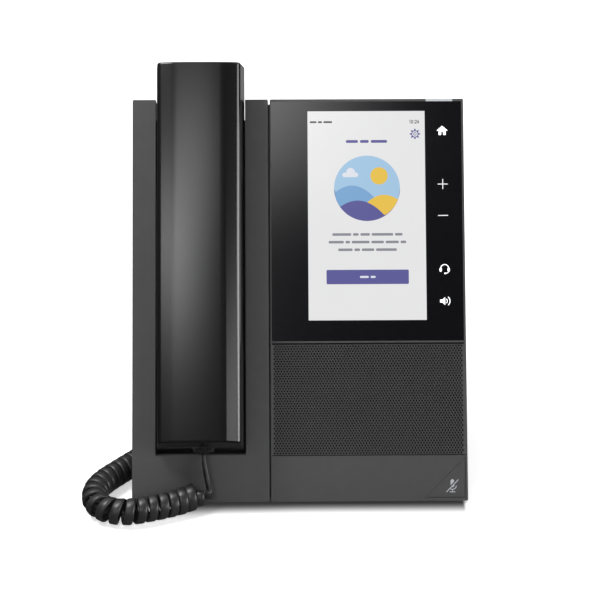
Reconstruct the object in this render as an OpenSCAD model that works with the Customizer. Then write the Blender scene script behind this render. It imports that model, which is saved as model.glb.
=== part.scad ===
// Desk telephone with a handset cradle, an upright touch screen and a clip-on stand.
// Face coordinates: u runs right, v up the sloping face, w straight out of the face.

/* [Body] */
// Lean of the face back from upright
lean = 30; // [26:0.5:34]
// Depth of the straight side walls
rim_d = 13; // [12.6:0.1:14]
// Depth from the face to the flat of the back
body_d = 30; // [29:0.5:34]
// Wall of the moulded housings
wall = 2.2; // [1.6:0.1:2.6]
// Radius of the housing corners
corner_r = 0.8; // [0.5:0.1:3]
// Width of the cradle column
cradle_w = 71.6; // [69:0.2:74]
// Width of the seam between the two columns
seam_w = 0.9; // [0.5:0.1:1.5]
// Slope-in of the rear cover, from its rim to its flat
taper_w = 14; // [8:0.5:16]
// Height on the face where the flat of the back starts
bulge_v = 33; // [31:0.5:34]
// Set-back of the rear cover's rim from the housings
rim_step = 0.8; // [0.3:0.1:1.2]

/* [Screen] */
// Width of the strip with the touch marks, right of the picture
strip_w = 19.4; // [18.4:0.1:22]
// Thickness of the cover glass
glass_t = 1.1; // [0.7:0.1:1.4]
// Rim of the housing beside the glass
side_rim = 1.1; // [0.6:0.1:1.6]
// Rim of the housing between the glass and the grille
glass_rim = 0.9; // [0.6:0.1:1.4]
// Rim of the housing above the glass
top_rim = 1.3; // [0.8:0.1:2]
// Front wall of the display housing
front_t = 3.6; // [3.2:0.1:4]
// Width of the lit picture
lcd_w = 62; // [58:0.1:64]
// Height of the lit picture
lcd_h = 111; // [104:0.1:113]
// Left edge of the picture from the glass's edge
lcd_left = 19.4; // [17:0.1:20]
// Bottom edge of the picture from the glass's edge
lcd_low = 10.9; // [8:0.1:11.5]
// Top edge of the picture from the glass's edge
lcd_top = 5.2; // [4.4:0.1:8]
// Thickness of the screen panel
lcd_t = 2.6; // [2:0.1:3]
// Thickness of the backlight tray
tray_t = 1.8; // [1:0.1:2.4]

/* [Speaker] */
// Height of the perforated grille
grille_h = 57.5; // [55:0.1:60]
// Thickness of the grille plate
grille_t = 1.6; // [1.2:0.1:1.8]
// Diameter of the loudspeaker's basket at its rim
speaker_d = 50; // [44:0.5:52]
// Depth of the loudspeaker behind its rim
speaker_h = 13; // [11:0.5:15]
// Diameter of the loudspeaker's magnet
magnet_d = 32; // [24:0.5:34]

/* [Bottom bar] */
// Height of the bottom bar
bar_h = 22.1; // [21:0.1:23]
// Thickness of the bottom bar
bar_t = 2; // [1.8:0.1:2.3]
// Height of the housing's edge under the bar
bar_low = 1.6; // [1:0.1:2.4]
// Length of the mute key's two outer edges
mute_leg = 21.2; // [18:0.1:22]
// Travel of the mute key
mute_travel = 0.5; // [0.3:0.05:0.7]
// Gap round the mute key
key_gap = 0.25; // [0.15:0.05:0.4]

/* [Cradle] */
// Depth of the trough under the handset
trough_d = 6; // [5:0.1:6.6]
// Bottom end of the trough
trough_v = 24.3; // [22:0.1:26]
// Depth of the open notch at the top of the trough
notch_h = 10; // [6:0.5:11]
// Gap beside the handset in the trough
side_gap = 0.35; // [0.25:0.05:1.2]
// Gap below the handset in the trough
end_gap = 0.8; // [0.5:0.05:1.5]
// Height of the rubber pads above the trough floor
pad_rise = 0.3; // [0.2:0.05:0.6]
// Travel of the hook button
hook_travel = 3; // [2:0.1:3.4]
// Width of the hook button
hook_w = 8; // [6:0.1:10]

/* [Handset] */
// Length of the handset
handset_l = 205; // [195:0.5:215]
// Width of the handset across its back
handset_w = 46.6; // [43:0.1:47.4]
// Narrowing of each side towards the front
handset_draft = 2.5; // [1:0.1:3.2]
// Height of the handset at its ends
handset_h = 27.6; // [26:0.1:30]
// Rise of the front between its ends
crown = 2.5; // [1:0.1:4]
// Set-back of the bottom end towards the front
low_taper = 5.7; // [3:0.1:7]
// Set-back of the top end towards the front
top_taper = 2.2; // [1:0.1:4]
// Thickness of the grip
grip_t = 14.4; // [12.5:0.1:15]
// Length of the earpiece end
ear_l = 52; // [48:0.5:56]
// Length of the mouthpiece end
mouth_l = 46; // [42:0.5:50]
// Run of the slopes between the ends and the grip
slope_l = 14; // [8:0.5:18]
// Wall of the handset shells
shell = 2; // [1.6:0.1:2.4]
// Diameter of the earpiece's receiver
receiver_d = 28; // [24:0.5:32]
// Diameter of the handset's microphone
capsule_d = 6; // [4:0.1:7]

/* [Stand] */
// Reach of the stand behind the bottom edge of the face
stand_reach = 126; // [112:0.5:136]
// Half width of the stand
stand_half = 58; // [54:0.5:66]
// Thickness of the stand's panels
stand_t = 3; // [2.4:0.1:3.6]
// Lower end of the stand's plate on the back
plate_v = 84; // [82:0.5:90]
// Length of the stand's plate
plate_l = 50; // [48:0.5:56]
// Travel that takes the stand off its slots
stand_travel = 12; // [11:0.5:13]
// Width of the stand's hooks
hook_tab_w = 8; // [6:0.5:12]
// Thickness of the rubber feet
foot_t = 1.5; // [1:0.1:2.5]
// Sliding gap between the stand and the back
slide_gap = 0.2; // [0.1:0.05:0.4]

/* [Fasteners] */
// Diameter of the cover screws
screw_d = 3; // [2.5:0.1:3.4]
// Diameter of the cover screws' heads
head_d = 5.5; // [5:0.1:6]
// Diameter of the screw bosses
boss_d = 7; // [6.8:0.1:7.6]
// Diameter of the board screws
board_screw_d = 2.5; // [2:0.1:2.8]
// Bore of the wall bracket's screw holes
wall_bore = 4; // [3:0.1:4.4]
// Depth of the wall bracket's screw holes
wall_bore_l = 8; // [6:0.5:9]

/* [Circuit board] */
// Depth of the board's front behind the face
board_w = 14; // [13.8:0.1:14.6]
// Thickness of the board
board_t = 1.6; // [1:0.1:2]
// Height of the socket row on the face
jack_v = 56; // [55:0.5:57]
// Inside width of the network sockets
rj45_w = 11.8; // [11.7:0.1:12.2]
// Inside height of the network sockets
rj45_h = 8.4; // [8:0.1:8.8]
// Inside width of the handset sockets
rj9_w = 7.8; // [7.7:0.1:8]
// Inside height of the handset sockets
rj9_h = 6.7; // [6.6:0.1:6.9]
// Depth of the sockets
jack_depth = 12; // [11.5:0.1:12.5]

/* [Cord] */
// Width of the flat cord
cord_w = 4.4; // [3.6:0.1:4.8]
// Thickness of the flat cord
cord_t = 2.2; // [1.6:0.1:2.6]
// Outer diameter of the curls
coil_d = 14; // [13:0.1:14.4]

/* [Hidden] */
$fn = 48;
eps = 0.01;

// Columns of the face
left_rim = 0.6;
groove_h = 1;
groove_d = 0.7;
seam_d = 4;
body_w = cradle_w + seam_w + left_rim + lcd_left + lcd_w + strip_w + side_rim;
glass_h = lcd_low + lcd_h + lcd_top;
face_h = bar_low + bar_h + groove_h / 2 + grille_h + groove_h + glass_rim + glass_h + top_rim;
cradle_u0 = -body_w / 2;
cradle_u1 = cradle_u0 + cradle_w;
disp_u0 = cradle_u1 + seam_w;
disp_u1 = body_w / 2;

// Cover glass and screen
glass_u0 = disp_u0 + left_rim;
glass_u1 = disp_u1 - side_rim;
glass_v1 = face_h - top_rim;
glass_v0 = glass_v1 - glass_h;
lcd_u0 = glass_u0 + lcd_left;
lcd_v0 = glass_v0 + lcd_low;
lcd_edge = 1.9;
window_gap = 0.4;

// Grille and bottom bar
bar_v0 = bar_low;
bar_v1 = bar_v0 + bar_h;
grille_v0 = bar_v1 + groove_h / 2;
grille_v1 = glass_v0 - glass_rim - groove_h;
cloth_t = 0.3;
cloth_d = speaker_d + 3;
gasket_t = 1;
flange_t = 1.2;
speaker_at = [(disp_u0 + disp_u1) / 2, (grille_v0 + grille_v1) / 2];
gasket_w = -front_t - gasket_t;
flange_w = gasket_w - flange_t;
speaker_screw_d = 2.4;

// Mute key
key_t = bar_t - mute_travel - 0.1;
stem_d = 4;
stem_at = [glass_u1 - 7.4, bar_v0 + 9.4];
stem_w = -front_t - 0.8;
switch_top = stem_w - mute_travel - 0.1;
switch_h = 3;
small_board_t = 1;
mute_board_w = switch_top - switch_h;
mute_board_size = [16, 9];

// Message light and the lamps behind the touch marks
light_u0 = glass_u1 - 18.7;
light_w = 14.1;
light_d = 8;
lamp_u0 = glass_u1 - 14;
lamp_slot_w = 8;
lamp_v = [for (v = [20.8, 37.7, 66.1, 82.8, 111.3]) glass_v0 + v];
light_low = glass_v1 - 2.2;
light_post = [light_u0 + light_w / 2, glass_v1 - 10];

// Cradle trough and handset
trough_w = handset_w + 2 * side_gap;
handset_u = (cradle_u0 + cradle_u1) / 2;
trough_u0 = handset_u - trough_w / 2;
trough_u1 = handset_u + trough_w / 2;
tub_t = 2;
tub_w = -trough_d - tub_t;
pad_pocket = 1;
pad_half = [5, 3];
handset_v0 = trough_v + end_gap;
handset_v1 = handset_v0 + handset_l;
handset_back = -trough_d + pad_rise + 0.1;
handset_front = handset_back + handset_h;
grip_back = handset_front + crown - grip_t - 2.6;
split_w = grip_back + shell;
ear_v = handset_v1 - ear_l / 2;
mouth_v = handset_v0 + mouth_l / 2 + 3;
hook_v = mouth_v + 9;

// Depths behind the face
board_back = -board_w - board_t;
cover_in = -body_d + wall;
bulge_u = body_w / 2 - rim_step - taper_w;
bulge_top = face_h - 17;

// Screw places on the face: cradle column, then display column
screw_v = [trough_v + 53.7, face_h - 32];
cradle_bosses = [
    [handset_u - 14.3, screw_v[0]], [handset_u - 14.3, screw_v[1]],
    [cradle_u1 - wall - boss_d / 2 + 0.5, screw_v[0]],
    [cradle_u1 - wall - boss_d / 2 + 0.5, screw_v[1]]
];
basket_half = speaker_d / 2 + 1;
screw_u = [lcd_u0 - lcd_edge - boss_d / 2 - 5.5, speaker_at[0] + basket_half + boss_d / 2 + 0.4];
display_bosses = [
    [screw_u[0], bar_v1 + 14.3], [screw_u[1], bar_v1 + 14.3],
    [screw_u[0], face_h - 23], [screw_u[1], glass_v0 + 2.4]
];
screw_seat = -rim_d - 4;
head_h = 2;
board_edge = disp_u1 - 7;
board_left = handset_u - 8.3;
board_v0 = glass_v0 + 5.4;
board_posts = [
    [board_left + 4, board_v0 + 10], [board_left + 4, bulge_top - 7],
    [board_edge - 4.5, board_v0 + 14], [board_edge - 4.5, bulge_top - 17],
    [disp_u0 + 17, glass_v0 - 8.6]
];
post_d = 6;
wall_u = stand_half - 20;
wall_bores = [[-wall_u, plate_v - 5], [wall_u, plate_v - 5],
              [-wall_u, face_h - 54], [wall_u, face_h - 54]];

// Side socket: height on the face, size and back
usb_v = face_h - 62;
usb_size = [14, 14.4, 7];
usb_back = -board_w + 0.6;

// Sockets along the back: place across the face
power_u = disp_u0 - 45;
network_u = disp_u0 - 28;
pc_u = disp_u0 - 9;
handset_jack_u = disp_u0 + 7;
headset_jack_u = disp_u0 + 19.5;
rj45_size = [16, 13.6];
rj9_size = [11, 10.6];
power_size = [9, 11];
socket_gap = 0.3;
plug_gap = 0.1;
plug_l = 19;
plug_out = 8;

// Cable socket in the lower end of the handset
handset_jack_w = handset_back + 9.2;
handset_jack_at = handset_u + 1.6;
lead_v = handset_v0 + low_taper * (handset_jack_w - handset_back) / handset_h + 1.2;

// Place of the face's bottom edge: the origin is under the middle of the whole telephone
front_reach = (handset_v0 + low_taper) * sin(lean) - handset_front * cos(lean);
face_y = -(front_reach + stand_reach) / 2;
face_z = foot_t;

// A point of the face's side view, from its place behind the bottom edge and its height
function side_point(y, z) =
    [y * sin(lean) + (z - face_z) * cos(lean), -y * cos(lean) + (z - face_z) * sin(lean)];
// Height on the face of the flat underside, at depth w
function floor_v(w) = -w * tan(lean);
function circle_points(c, r, a0, a1, n) =
    [for (i = [0:n]) let (a = a0 + (a1 - a0) * i / n) c + r * [cos(a), sin(a)]];

module on_face() {
    translate([0, face_y, face_z]) rotate([90 - lean, 0, 0]) children();
}

// Extrudes a side view, drawn as v and w, across the face
module along_u(u0, u1) {
    translate([u0, 0, 0]) rotate([90, 0, 90]) linear_extrude(u1 - u0) children();
}

// Extrudes a section, drawn as u and w, up the face
module along_v(v0, v1) {
    translate([0, v1, 0]) rotate([90, 0, 0]) linear_extrude(v1 - v0) children();
}

// Extrudes an outline, drawn as u and v, through the depth of the face
module along_w(w0, w1) {
    translate([0, 0, w0]) linear_extrude(w1 - w0) children();
}

module block(a, b) {
    translate(a) cube(b - a);
}

module rod(at, d, w0, w1) {
    translate([at[0], at[1], w0]) cylinder(d = d, h = w1 - w0);
}

module round_outline(u0, v0, u1, v1, r) {
    translate([u0 + r, v0]) square([u1 - u0 - 2 * r, v1 - v0]);
    translate([u0, v0 + r]) square([u1 - u0, v1 - v0 - 2 * r]);
    for (u = [u0 + r, u1 - r], v = [v0 + r, v1 - r]) translate([u, v]) circle(r);
}

// ---------- Housings ----------

module body_side(w1, inset) {
    polygon([
        [floor_v(-inset) + inset / cos(lean), -inset],
        [face_h - inset, -inset],
        [face_h - inset, w1],
        [floor_v(w1) + inset / cos(lean), w1]
    ]);
}

module column(u0, u1, front) {
    difference() {
        intersection() {
            along_u(u0, u1) body_side(-rim_d, 0);
            along_w(-rim_d, 0) round_outline(u0, 0, u1, face_h, corner_r);
        }
        intersection() {
            along_u(u0 + wall, u1 - wall) body_side(-rim_d - 1, wall);
            block([u0, 0, -rim_d - 1], [u1, face_h, -front]);
        }
    }
}

module trough_hollow(back) {
    block([trough_u0, trough_v, -trough_d], [trough_u1, face_h + 1, 1]);
    block([trough_u0, face_h - notch_h, back], [trough_u1, face_h + 1, 1]);
}

module at_pads() {
    for (u = [-13, 13], v = [trough_v + 13, trough_v + 156.7])
        translate([handset_u + u, v, -trough_d]) children();
}

module cradle_housing() {
    color("#3c3d40") on_face() difference() {
        union() {
            column(cradle_u0, cradle_u1, wall);
            block([trough_u0 - tub_t, trough_v - tub_t, tub_w],
                  [trough_u1 + tub_t, face_h - notch_h, -wall / 2]);
            block([trough_u0 - tub_t, face_h - notch_h - tub_t, -rim_d],
                  [trough_u1 + tub_t, face_h - wall / 2, -wall / 2]);
            for (b = [cradle_bosses[0], cradle_bosses[1]]) rod(b, boss_d, -rim_d, tub_w + eps);
            for (b = [cradle_bosses[2], cradle_bosses[3]]) rod(b, boss_d, -rim_d, -wall + eps);
        }
        trough_hollow(-rim_d - 1);
        for (b = cradle_bosses) rod(b, screw_d, -rim_d - 1, tub_w);
        translate([handset_u, hook_v, tub_w]) cube([hook_w + 0.6, hook_w + 0.6, 9], center = true);
        block([handset_u - 6.1, face_h - 26.1, -trough_d - 1.2],
              [handset_u + 6.1, face_h - 15.9, 0]);
        at_pads() block([-pad_half[0], -pad_half[1], -pad_pocket], [pad_half[0], pad_half[1], trough_d]);
    }
}

module lcd_window(gap, w0, w1) {
    block([lcd_u0 - lcd_edge - gap, lcd_v0 - lcd_edge - gap, w0],
          [lcd_u0 + lcd_w + lcd_edge + gap, lcd_v0 + lcd_h + lcd_edge + gap, w1]);
}

module key_shape(gap) {
    u1 = glass_u1 - gap;
    v0 = bar_v0 + gap;
    leg = mute_leg - gap * 2.6;
    polygon([[u1 - leg, v0], [u1, v0], [u1, v0 + leg]]);
}

module light_side(gap) {
    polygon([
        [light_low - gap, -light_d - gap], [face_h + gap, -light_d - gap],
        [face_h + gap, gap], [glass_v1 - gap, gap],
        [glass_v1 - gap, -glass_t - 0.3], [light_low - gap, -glass_t - 0.3]
    ]);
}

module display_housing() {
    color("#3a3b3e") on_face() difference() {
        union() {
            column(disp_u0, disp_u1, front_t);
            along_u(disp_u0 - seam_w + 0.1, disp_u0 + eps) polygon([
                [floor_v(-seam_d), -seam_d], [face_h - 2, -seam_d],
                [face_h - 2, -rim_d], [floor_v(-rim_d), -rim_d]
            ]);
            for (b = display_bosses) rod(b, boss_d, -rim_d, -front_t + eps);
            for (u = [-5, 5], v = [-3.5, 3.5])
                rod(stem_at + [u, v], 3, mute_board_w, -front_t + eps);
            rod(light_post, 5, -light_d, -front_t + eps);
        }
        block([glass_u0, glass_v0, -glass_t], [glass_u1, glass_v1, 1]);
        lcd_window(window_gap, -front_t - 1, 0);
        block([lamp_u0, lamp_v[0] - 5, -front_t - 1],
              [lamp_u0 + lamp_slot_w, lamp_v[4] + 5, 0]);
        block([glass_u0, grille_v1 - eps, -groove_d], [glass_u1, glass_v0 - glass_rim, 1]);
        block([glass_u0, grille_v0, -grille_t], [glass_u1, grille_v1, 1]);
        block([glass_u0, bar_v1 - eps, -groove_d], [glass_u1, grille_v0 + eps, 1]);
        block([glass_u0, bar_v0, -bar_t], [glass_u1, bar_v1, 1]);
        rod(speaker_at, speaker_d - 2, -front_t - 1, 0);
        rod(speaker_at, cloth_d, -grille_t - cloth_t, 0);
        for (u = [-1, 1], v = [-1, 1])
            rod(speaker_at + (speaker_d / 2 - 2.6) * [u, v], speaker_screw_d,
                -front_t - 1, -front_t + 1.2);
        rod(stem_at, stem_d + 0.5, -front_t - 1, 0);
        translate([light_u0 - 0.1, 0, 0]) along_u(0, light_w + 0.2) light_side(0.1);
        block([disp_u1 - wall - 1, usb_v - usb_size[1] / 2 - 0.2, -rim_d - 1],
              [disp_u1 + 1, usb_v + usb_size[1] / 2 + 0.2, usb_back + usb_size[2] + 0.2]);
        for (b = display_bosses) rod(b, screw_d, -rim_d - 1, -front_t - 1);
    }
}

// ---------- Rear cover ----------

module cover_shape(inset) {
    k = inset * 0.6;
    edge = body_w / 2 - rim_step - inset;
    intersection() {
        along_u(-body_w, body_w) polygon([
            [floor_v(-rim_d) + rim_step + inset, -rim_d + (inset > 0 ? 1 : 0)],
            [face_h - rim_step - inset, -rim_d + (inset > 0 ? 1 : 0)],
            [face_h - rim_step - inset, -rim_d],
            [bulge_top - k, -body_d + inset],
            [bulge_v + k, -body_d + inset],
            [floor_v(-rim_d) + rim_step + inset, -rim_d]
        ]);
        along_v(0, face_h) polygon([
            [-edge, -rim_d + (inset > 0 ? 1 : 0)], [-edge, -rim_d],
            [-bulge_u + k, -body_d + inset], [bulge_u - k, -body_d + inset],
            [edge, -rim_d], [edge, -rim_d + (inset > 0 ? 1 : 0)]
        ]);
    }
}

module socket_cut(u, size) {
    block([u - size[0] / 2 - socket_gap, jack_v - size[1] / 2 - socket_gap, -body_d - 1],
          [u + size[0] / 2 + socket_gap, jack_v + size[1] / 2 + socket_gap, cover_in + 2]);
}

panel_lip = 1.2;

// The panel round the socket row, grown by grow, between two depths
module panel_block(grow, w0, w1) {
    block([power_u - power_size[0] / 2 - 4 - grow, jack_v - rj45_size[1] / 2 - 2 - grow, w0],
          [headset_jack_u + rj9_size[0] / 2 + 6 + grow, jack_v + rj45_size[1] / 2 + 2 + grow, w1]);
}

slot_top = [plate_v + plate_l - 4, plate_v + plate_l - 28];
slot_u = [18 - stand_half, stand_half - 18];
slot_l = 6.6 + stand_travel;
security_at = [disp_u1 - 27.5, face_h - 67];
label_size = [60, 26];
label_v = face_h - 40;
label_t = 0.4;

module rear_cover() {
    bosses = concat(cradle_bosses, display_bosses);
    color("#2c2d2f") on_face() difference() {
        union() {
            difference() {
                cover_shape(0);
                cover_shape(wall);
            }
            intersection() {
                cover_shape(0);
                union() {
                    for (b = bosses) rod(b, boss_d + 1.4, -body_d, -rim_d);
                    for (p = board_posts) rod(p, post_d, cover_in - eps, board_back);
                    for (p = wall_bores) rod(p, wall_bore + 4, -body_d, -body_d + wall_bore_l + 2);
                    block([trough_u0 - tub_t, face_h - notch_h - tub_t, -body_d],
                          [trough_u1 + tub_t, face_h, -rim_d]);
                }
            }
        }
        block([trough_u0, face_h - notch_h, -body_d], [trough_u1, face_h + 1, 0]);
        for (b = bosses) {
            rod(b, screw_d, -body_d - 1, 0);
            rod(b, head_d + 0.4, -body_d - 1, screw_seat);
        }
        for (p = board_posts) rod(p, board_screw_d, -body_d + wall, 0);
        for (p = wall_bores) rod(p, wall_bore, -body_d - 1, -body_d + wall_bore_l);
        for (u = slot_u, v = slot_top)
            block([u - hook_tab_w / 2 - 0.3, v - slot_l, -body_d - 1],
                  [u + hook_tab_w / 2 + 0.3, v, cover_in + 1]);
        panel_block(0.1, -body_d - 1, cover_in + 1);
        block([security_at[0] - 6, security_at[1] - 4, -body_d - 1],
              [security_at[0] + 6, security_at[1] + 4, cover_in + 1]);
        block([-label_size[0] / 2, label_v - label_size[1] / 2, -body_d - 1],
              [label_size[0] / 2, label_v + label_size[1] / 2, -body_d + label_t]);
        block([disp_u1 - usb_size[0] - 1, usb_v - usb_size[1] / 2 - 0.2, usb_back - 0.2],
              [body_w, usb_v + usb_size[1] / 2 + 0.2, 0]);
    }
}

module port_panel() {
    color("#26272a") on_face() difference() {
        union() {
            panel_block(0, -body_d, cover_in + eps);
            panel_block(panel_lip, cover_in, cover_in + 1);
        }
        socket_cut(network_u, rj45_size);
        socket_cut(pc_u, rj45_size);
        socket_cut(handset_jack_u, rj9_size);
        socket_cut(headset_jack_u, rj9_size);
        socket_cut(power_u, power_size);
    }
}

module security_insert() {
    color("silver") on_face() difference() {
        block([security_at[0] - 6, security_at[1] - 4, -body_d],
              [security_at[0] + 6, security_at[1] + 4, cover_in]);
        block([security_at[0] - 3.5, security_at[1] - 1.5, -body_d - 1],
              [security_at[0] + 3.5, security_at[1] + 1.5, cover_in + 1]);
    }
}

module rating_plate() {
    color("#b9babc") on_face()
        block([-label_size[0] / 2, label_v - label_size[1] / 2, -body_d],
              [label_size[0] / 2, label_v + label_size[1] / 2, -body_d + label_t]);
}

// ---------- Screen ----------

module cover_glass() {
    color("#0c0d10") on_face()
        block([glass_u0, glass_v0, -glass_t], [glass_u1, glass_v1, 0]);
}

module lcd_panel() {
    color("#e9eaf0") on_face() lcd_window(0, -glass_t - lcd_t, -glass_t);
}

module lcd_backlight() {
    color("silver") on_face() difference() {
        union() {
            lcd_window(0, -glass_t - lcd_t - tray_t, -glass_t - lcd_t);
            for (v = [lcd_v0 + 8, lcd_v0 + lcd_h - 20])
                block([lcd_u0 - lcd_edge - 5, v, -front_t - 0.8],
                      [lcd_u0 + lcd_w + lcd_edge + 1.2, v + 8, -front_t]);
        }
        lcd_window(0, -glass_t - lcd_t, 0);
    }
}

// ---------- Speaker ----------

module speaker_grille() {
    color("#34353a") on_face()
        block([glass_u0, grille_v0, -grille_t], [glass_u1, grille_v1, 0]);
}

module grille_cloth() {
    color("#1b1b1d") on_face() rod(speaker_at, cloth_d, -grille_t - cloth_t, -grille_t);
}

module speaker_gasket() {
    color("#18181a") on_face() difference() {
        rod(speaker_at, speaker_d + 2, gasket_w, -front_t);
        rod(speaker_at, speaker_d - 4, gasket_w - 1, -front_t + 1);
        speaker_corners(speaker_screw_d + 0.2, gasket_w - 1, -front_t + 1);
    }
}

module speaker_corners(d, w0, w1) {
    for (u = [-1, 1], v = [-1, 1]) rod(speaker_at + (speaker_d / 2 - 2.6) * [u, v], d, w0, w1);
}

module speaker_basket() {
    color("#45464a") on_face() difference() {
        union() {
            along_w(flange_w, gasket_w) translate(speaker_at)
                square(2 * basket_half, center = true);
            rod(speaker_at, speaker_d - 5, flange_w - speaker_h / 2, flange_w);
        }
        rod(speaker_at, speaker_d - 8, flange_w - speaker_h / 2 + 1, gasket_w + 1);
        speaker_corners(speaker_screw_d, flange_w - 1, gasket_w + 1);
    }
}

module speaker_cone() {
    r = speaker_d / 2 - 4.1;
    color("#202124") on_face() translate([speaker_at[0], speaker_at[1], flange_w])
        rotate_extrude() polygon([
            [0, -speaker_h / 2 + 1.6], [0, -speaker_h / 2 + 1], [8, -speaker_h / 2 + 1],
            [r, 0], [r, 0.8], [r - 3, 0.8], [8, -speaker_h / 2 + 1.8]
        ]);
}

module speaker_magnet() {
    color("#7d7f82") on_face()
        rod(speaker_at, magnet_d, flange_w - speaker_h, flange_w - speaker_h / 2);
}

module speaker_screws() {
    color("silver") on_face() {
        speaker_corners(speaker_screw_d, flange_w, -front_t + 1.2);
        speaker_corners(4.2, flange_w - 1.4, flange_w);
    }
}

// ---------- Bottom bar and mute key ----------

module bottom_bar() {
    color("#3b3c3f") on_face() difference() {
        block([glass_u0, bar_v0, -bar_t], [glass_u1, bar_v1, 0]);
        along_w(-bar_t - 1, 1) key_shape(0);
        translate([glass_u1, bar_v0, 0]) cube([1, 1, 10], center = true);
    }
}

module mute_key() {
    color("#3b3c3f") on_face() {
        along_w(-key_t, 0) key_shape(key_gap);
        rod(stem_at, stem_d, stem_w, -key_t + eps);
    }
}

module mute_switch() {
    color("#222326") on_face() {
        translate([stem_at[0], stem_at[1], mute_board_w + (switch_h - 1) / 2])
            cube([6, 6, switch_h - 1], center = true);
        rod(stem_at, 3, mute_board_w + switch_h - 1, switch_top);
    }
}

module mute_board() {
    color("#1f5a38") on_face()
        translate([stem_at[0] - 3, stem_at[1] + 2, mute_board_w - small_board_t / 2])
            cube([mute_board_size[0], mute_board_size[1], small_board_t], center = true);
}

// ---------- Lights ----------

module message_light() {
    color("#c9ccd0") on_face() translate([light_u0, 0, 0]) along_u(0, light_w) light_side(0);
}

module light_board() {
    color("#1f5a38") on_face() {
        block([light_u0 - 1, light_post[1] - 4, -light_d - small_board_t],
              [light_u0 + light_w + 1, face_h - wall - 0.3, -light_d]);
        for (u = [2.5, light_w - 5.5])
            block([light_u0 + u, light_low - 2.8, -light_d],
                  [light_u0 + u + 3, light_low - 0.4, -light_d + 0.8]);
    }
}

module key_light_board() {
    color("#1f5a38") on_face() {
        block([lamp_u0 - 2, lamp_v[0] - 7, -front_t - small_board_t],
              [lamp_u0 + lamp_slot_w + 2, light_post[1] - 4.2, -front_t]);
        for (v = lamp_v)
            if (v < light_post[1] - 6) block([lamp_u0 + 2.5, v - 1.5, -front_t],
                                             [lamp_u0 + 5.5, v + 1.5, -front_t + 0.9]);
    }
}

// ---------- Circuit board and sockets ----------

// Place from the display column's edge and the glass's lower edge, then size and height
chips = [[-31, 55, 16, 16, 1.4], [7, 47, 12, 14, 1.2], [25, 75, 22, 12, 1.6],
         [61, 35, 12, 12, 1.4], [-25, 13, 14, 9, 1.6]];
cans = [[35, 27, 20, 24, 3], [3, 79, 18, 18, 3]];

module on_board(c) {
    translate([disp_u0 + c[0], glass_v0 + c[1], -board_w]) children();
}

module main_board() {
    color("#1f5a38") on_face() difference() {
        union() {
            block([board_left, board_v0, board_back], [board_edge, bulge_top - 2, -board_w]);
            block([power_u - 5.5, jack_v - 15, board_back],
                  [headset_jack_u + 7, board_v0 + eps, -board_w]);
        }
        for (b = concat(cradle_bosses, display_bosses))
            rod(b, boss_d + 2.8, board_back - 1, -board_w + 1);
        for (p = board_posts) rod(p, board_screw_d, board_back - 1, -board_w + 1);
    }
}

module board_chips() {
    color("#222326") on_face() for (c = chips) on_board(c) cube([c[2], c[3], c[4]]);
}

module shield_cans() {
    color("silver") on_face() for (c = cans) on_board(c) difference() {
        cube([c[2], c[3], c[4]]);
        translate([0.4, 0.4, -1]) cube([c[2] - 0.8, c[3] - 0.8, c[4] + 0.6]);
    }
}

module socket(u, size, w, h) {
    on_face() difference() {
        block([u - size[0] / 2, jack_v - size[1] / 2, -body_d],
              [u + size[0] / 2, jack_v + size[1] / 2, board_back]);
        block([u - w / 2, jack_v - h / 2, -body_d - 1],
              [u + w / 2, jack_v + h / 2, -body_d + jack_depth]);
    }
}

module network_jack() { color("#54565a") socket(network_u, rj45_size, rj45_w, rj45_h); }

module pc_jack() { color("#54565a") socket(pc_u, rj45_size, rj45_w, rj45_h); }

module handset_jack() { color("#2a2b2e") socket(handset_jack_u, rj9_size, rj9_w, rj9_h); }

module headset_jack() { color("#2a2b2e") socket(headset_jack_u, rj9_size, rj9_w, rj9_h); }

module power_jack() {
    color("#222326") on_face() {
        difference() {
            block([power_u - power_size[0] / 2, jack_v - power_size[1] / 2, -body_d],
                  [power_u + power_size[0] / 2, jack_v + power_size[1] / 2, board_back]);
            rod([power_u, jack_v], 6, -body_d - 1, -body_d + jack_depth - 2);
        }
        rod([power_u, jack_v], 2, -body_d + 0.5, -body_d + jack_depth - 2 + eps);
    }
}

module usb_port() {
    color("silver") on_face() {
        difference() {
            block([disp_u1 - usb_size[0], usb_v - usb_size[1] / 2, usb_back],
                  [disp_u1, usb_v + usb_size[1] / 2, usb_back + usb_size[2]]);
            block([disp_u1 - usb_size[0] + 2, usb_v - usb_size[1] / 2 + 0.6, usb_back + 0.6],
                  [disp_u1 + 1, usb_v + usb_size[1] / 2 - 0.6, usb_back + usb_size[2] - 0.6]);
        }
        block([disp_u1 - usb_size[0] + 2, usb_v - 5.5, usb_back + usb_size[2] / 2 + 0.2],
              [disp_u1 - 2, usb_v + 5.5, usb_back + usb_size[2] / 2 + 2]);
        block([disp_u1 - usb_size[0], usb_v - 4, -board_w],
              [board_edge, usb_v + 4, usb_back + eps]);
    }
}

// ---------- Hook ----------

hook_top = handset_back - 0.1;
hook_flange = tub_w - hook_travel - 1.4;

module hook_button() {
    color("#232427") on_face() {
        block([handset_u - hook_w / 2, hook_v - hook_w / 2, hook_flange],
              [handset_u + hook_w / 2, hook_v + hook_w / 2, hook_top]);
        block([handset_u - hook_w / 2 - 1.5, hook_v - hook_w / 2 - 1.5, hook_flange],
              [handset_u + hook_w / 2 + 1.5, hook_v + hook_w / 2 + 1.5, hook_flange + 1]);
    }
}

module hook_switch() {
    color("#222326") on_face()
        block([handset_u - 12, hook_v - 3, -board_w], [handset_u - 7, hook_v + 3, -board_w + 4]);
}

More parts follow.
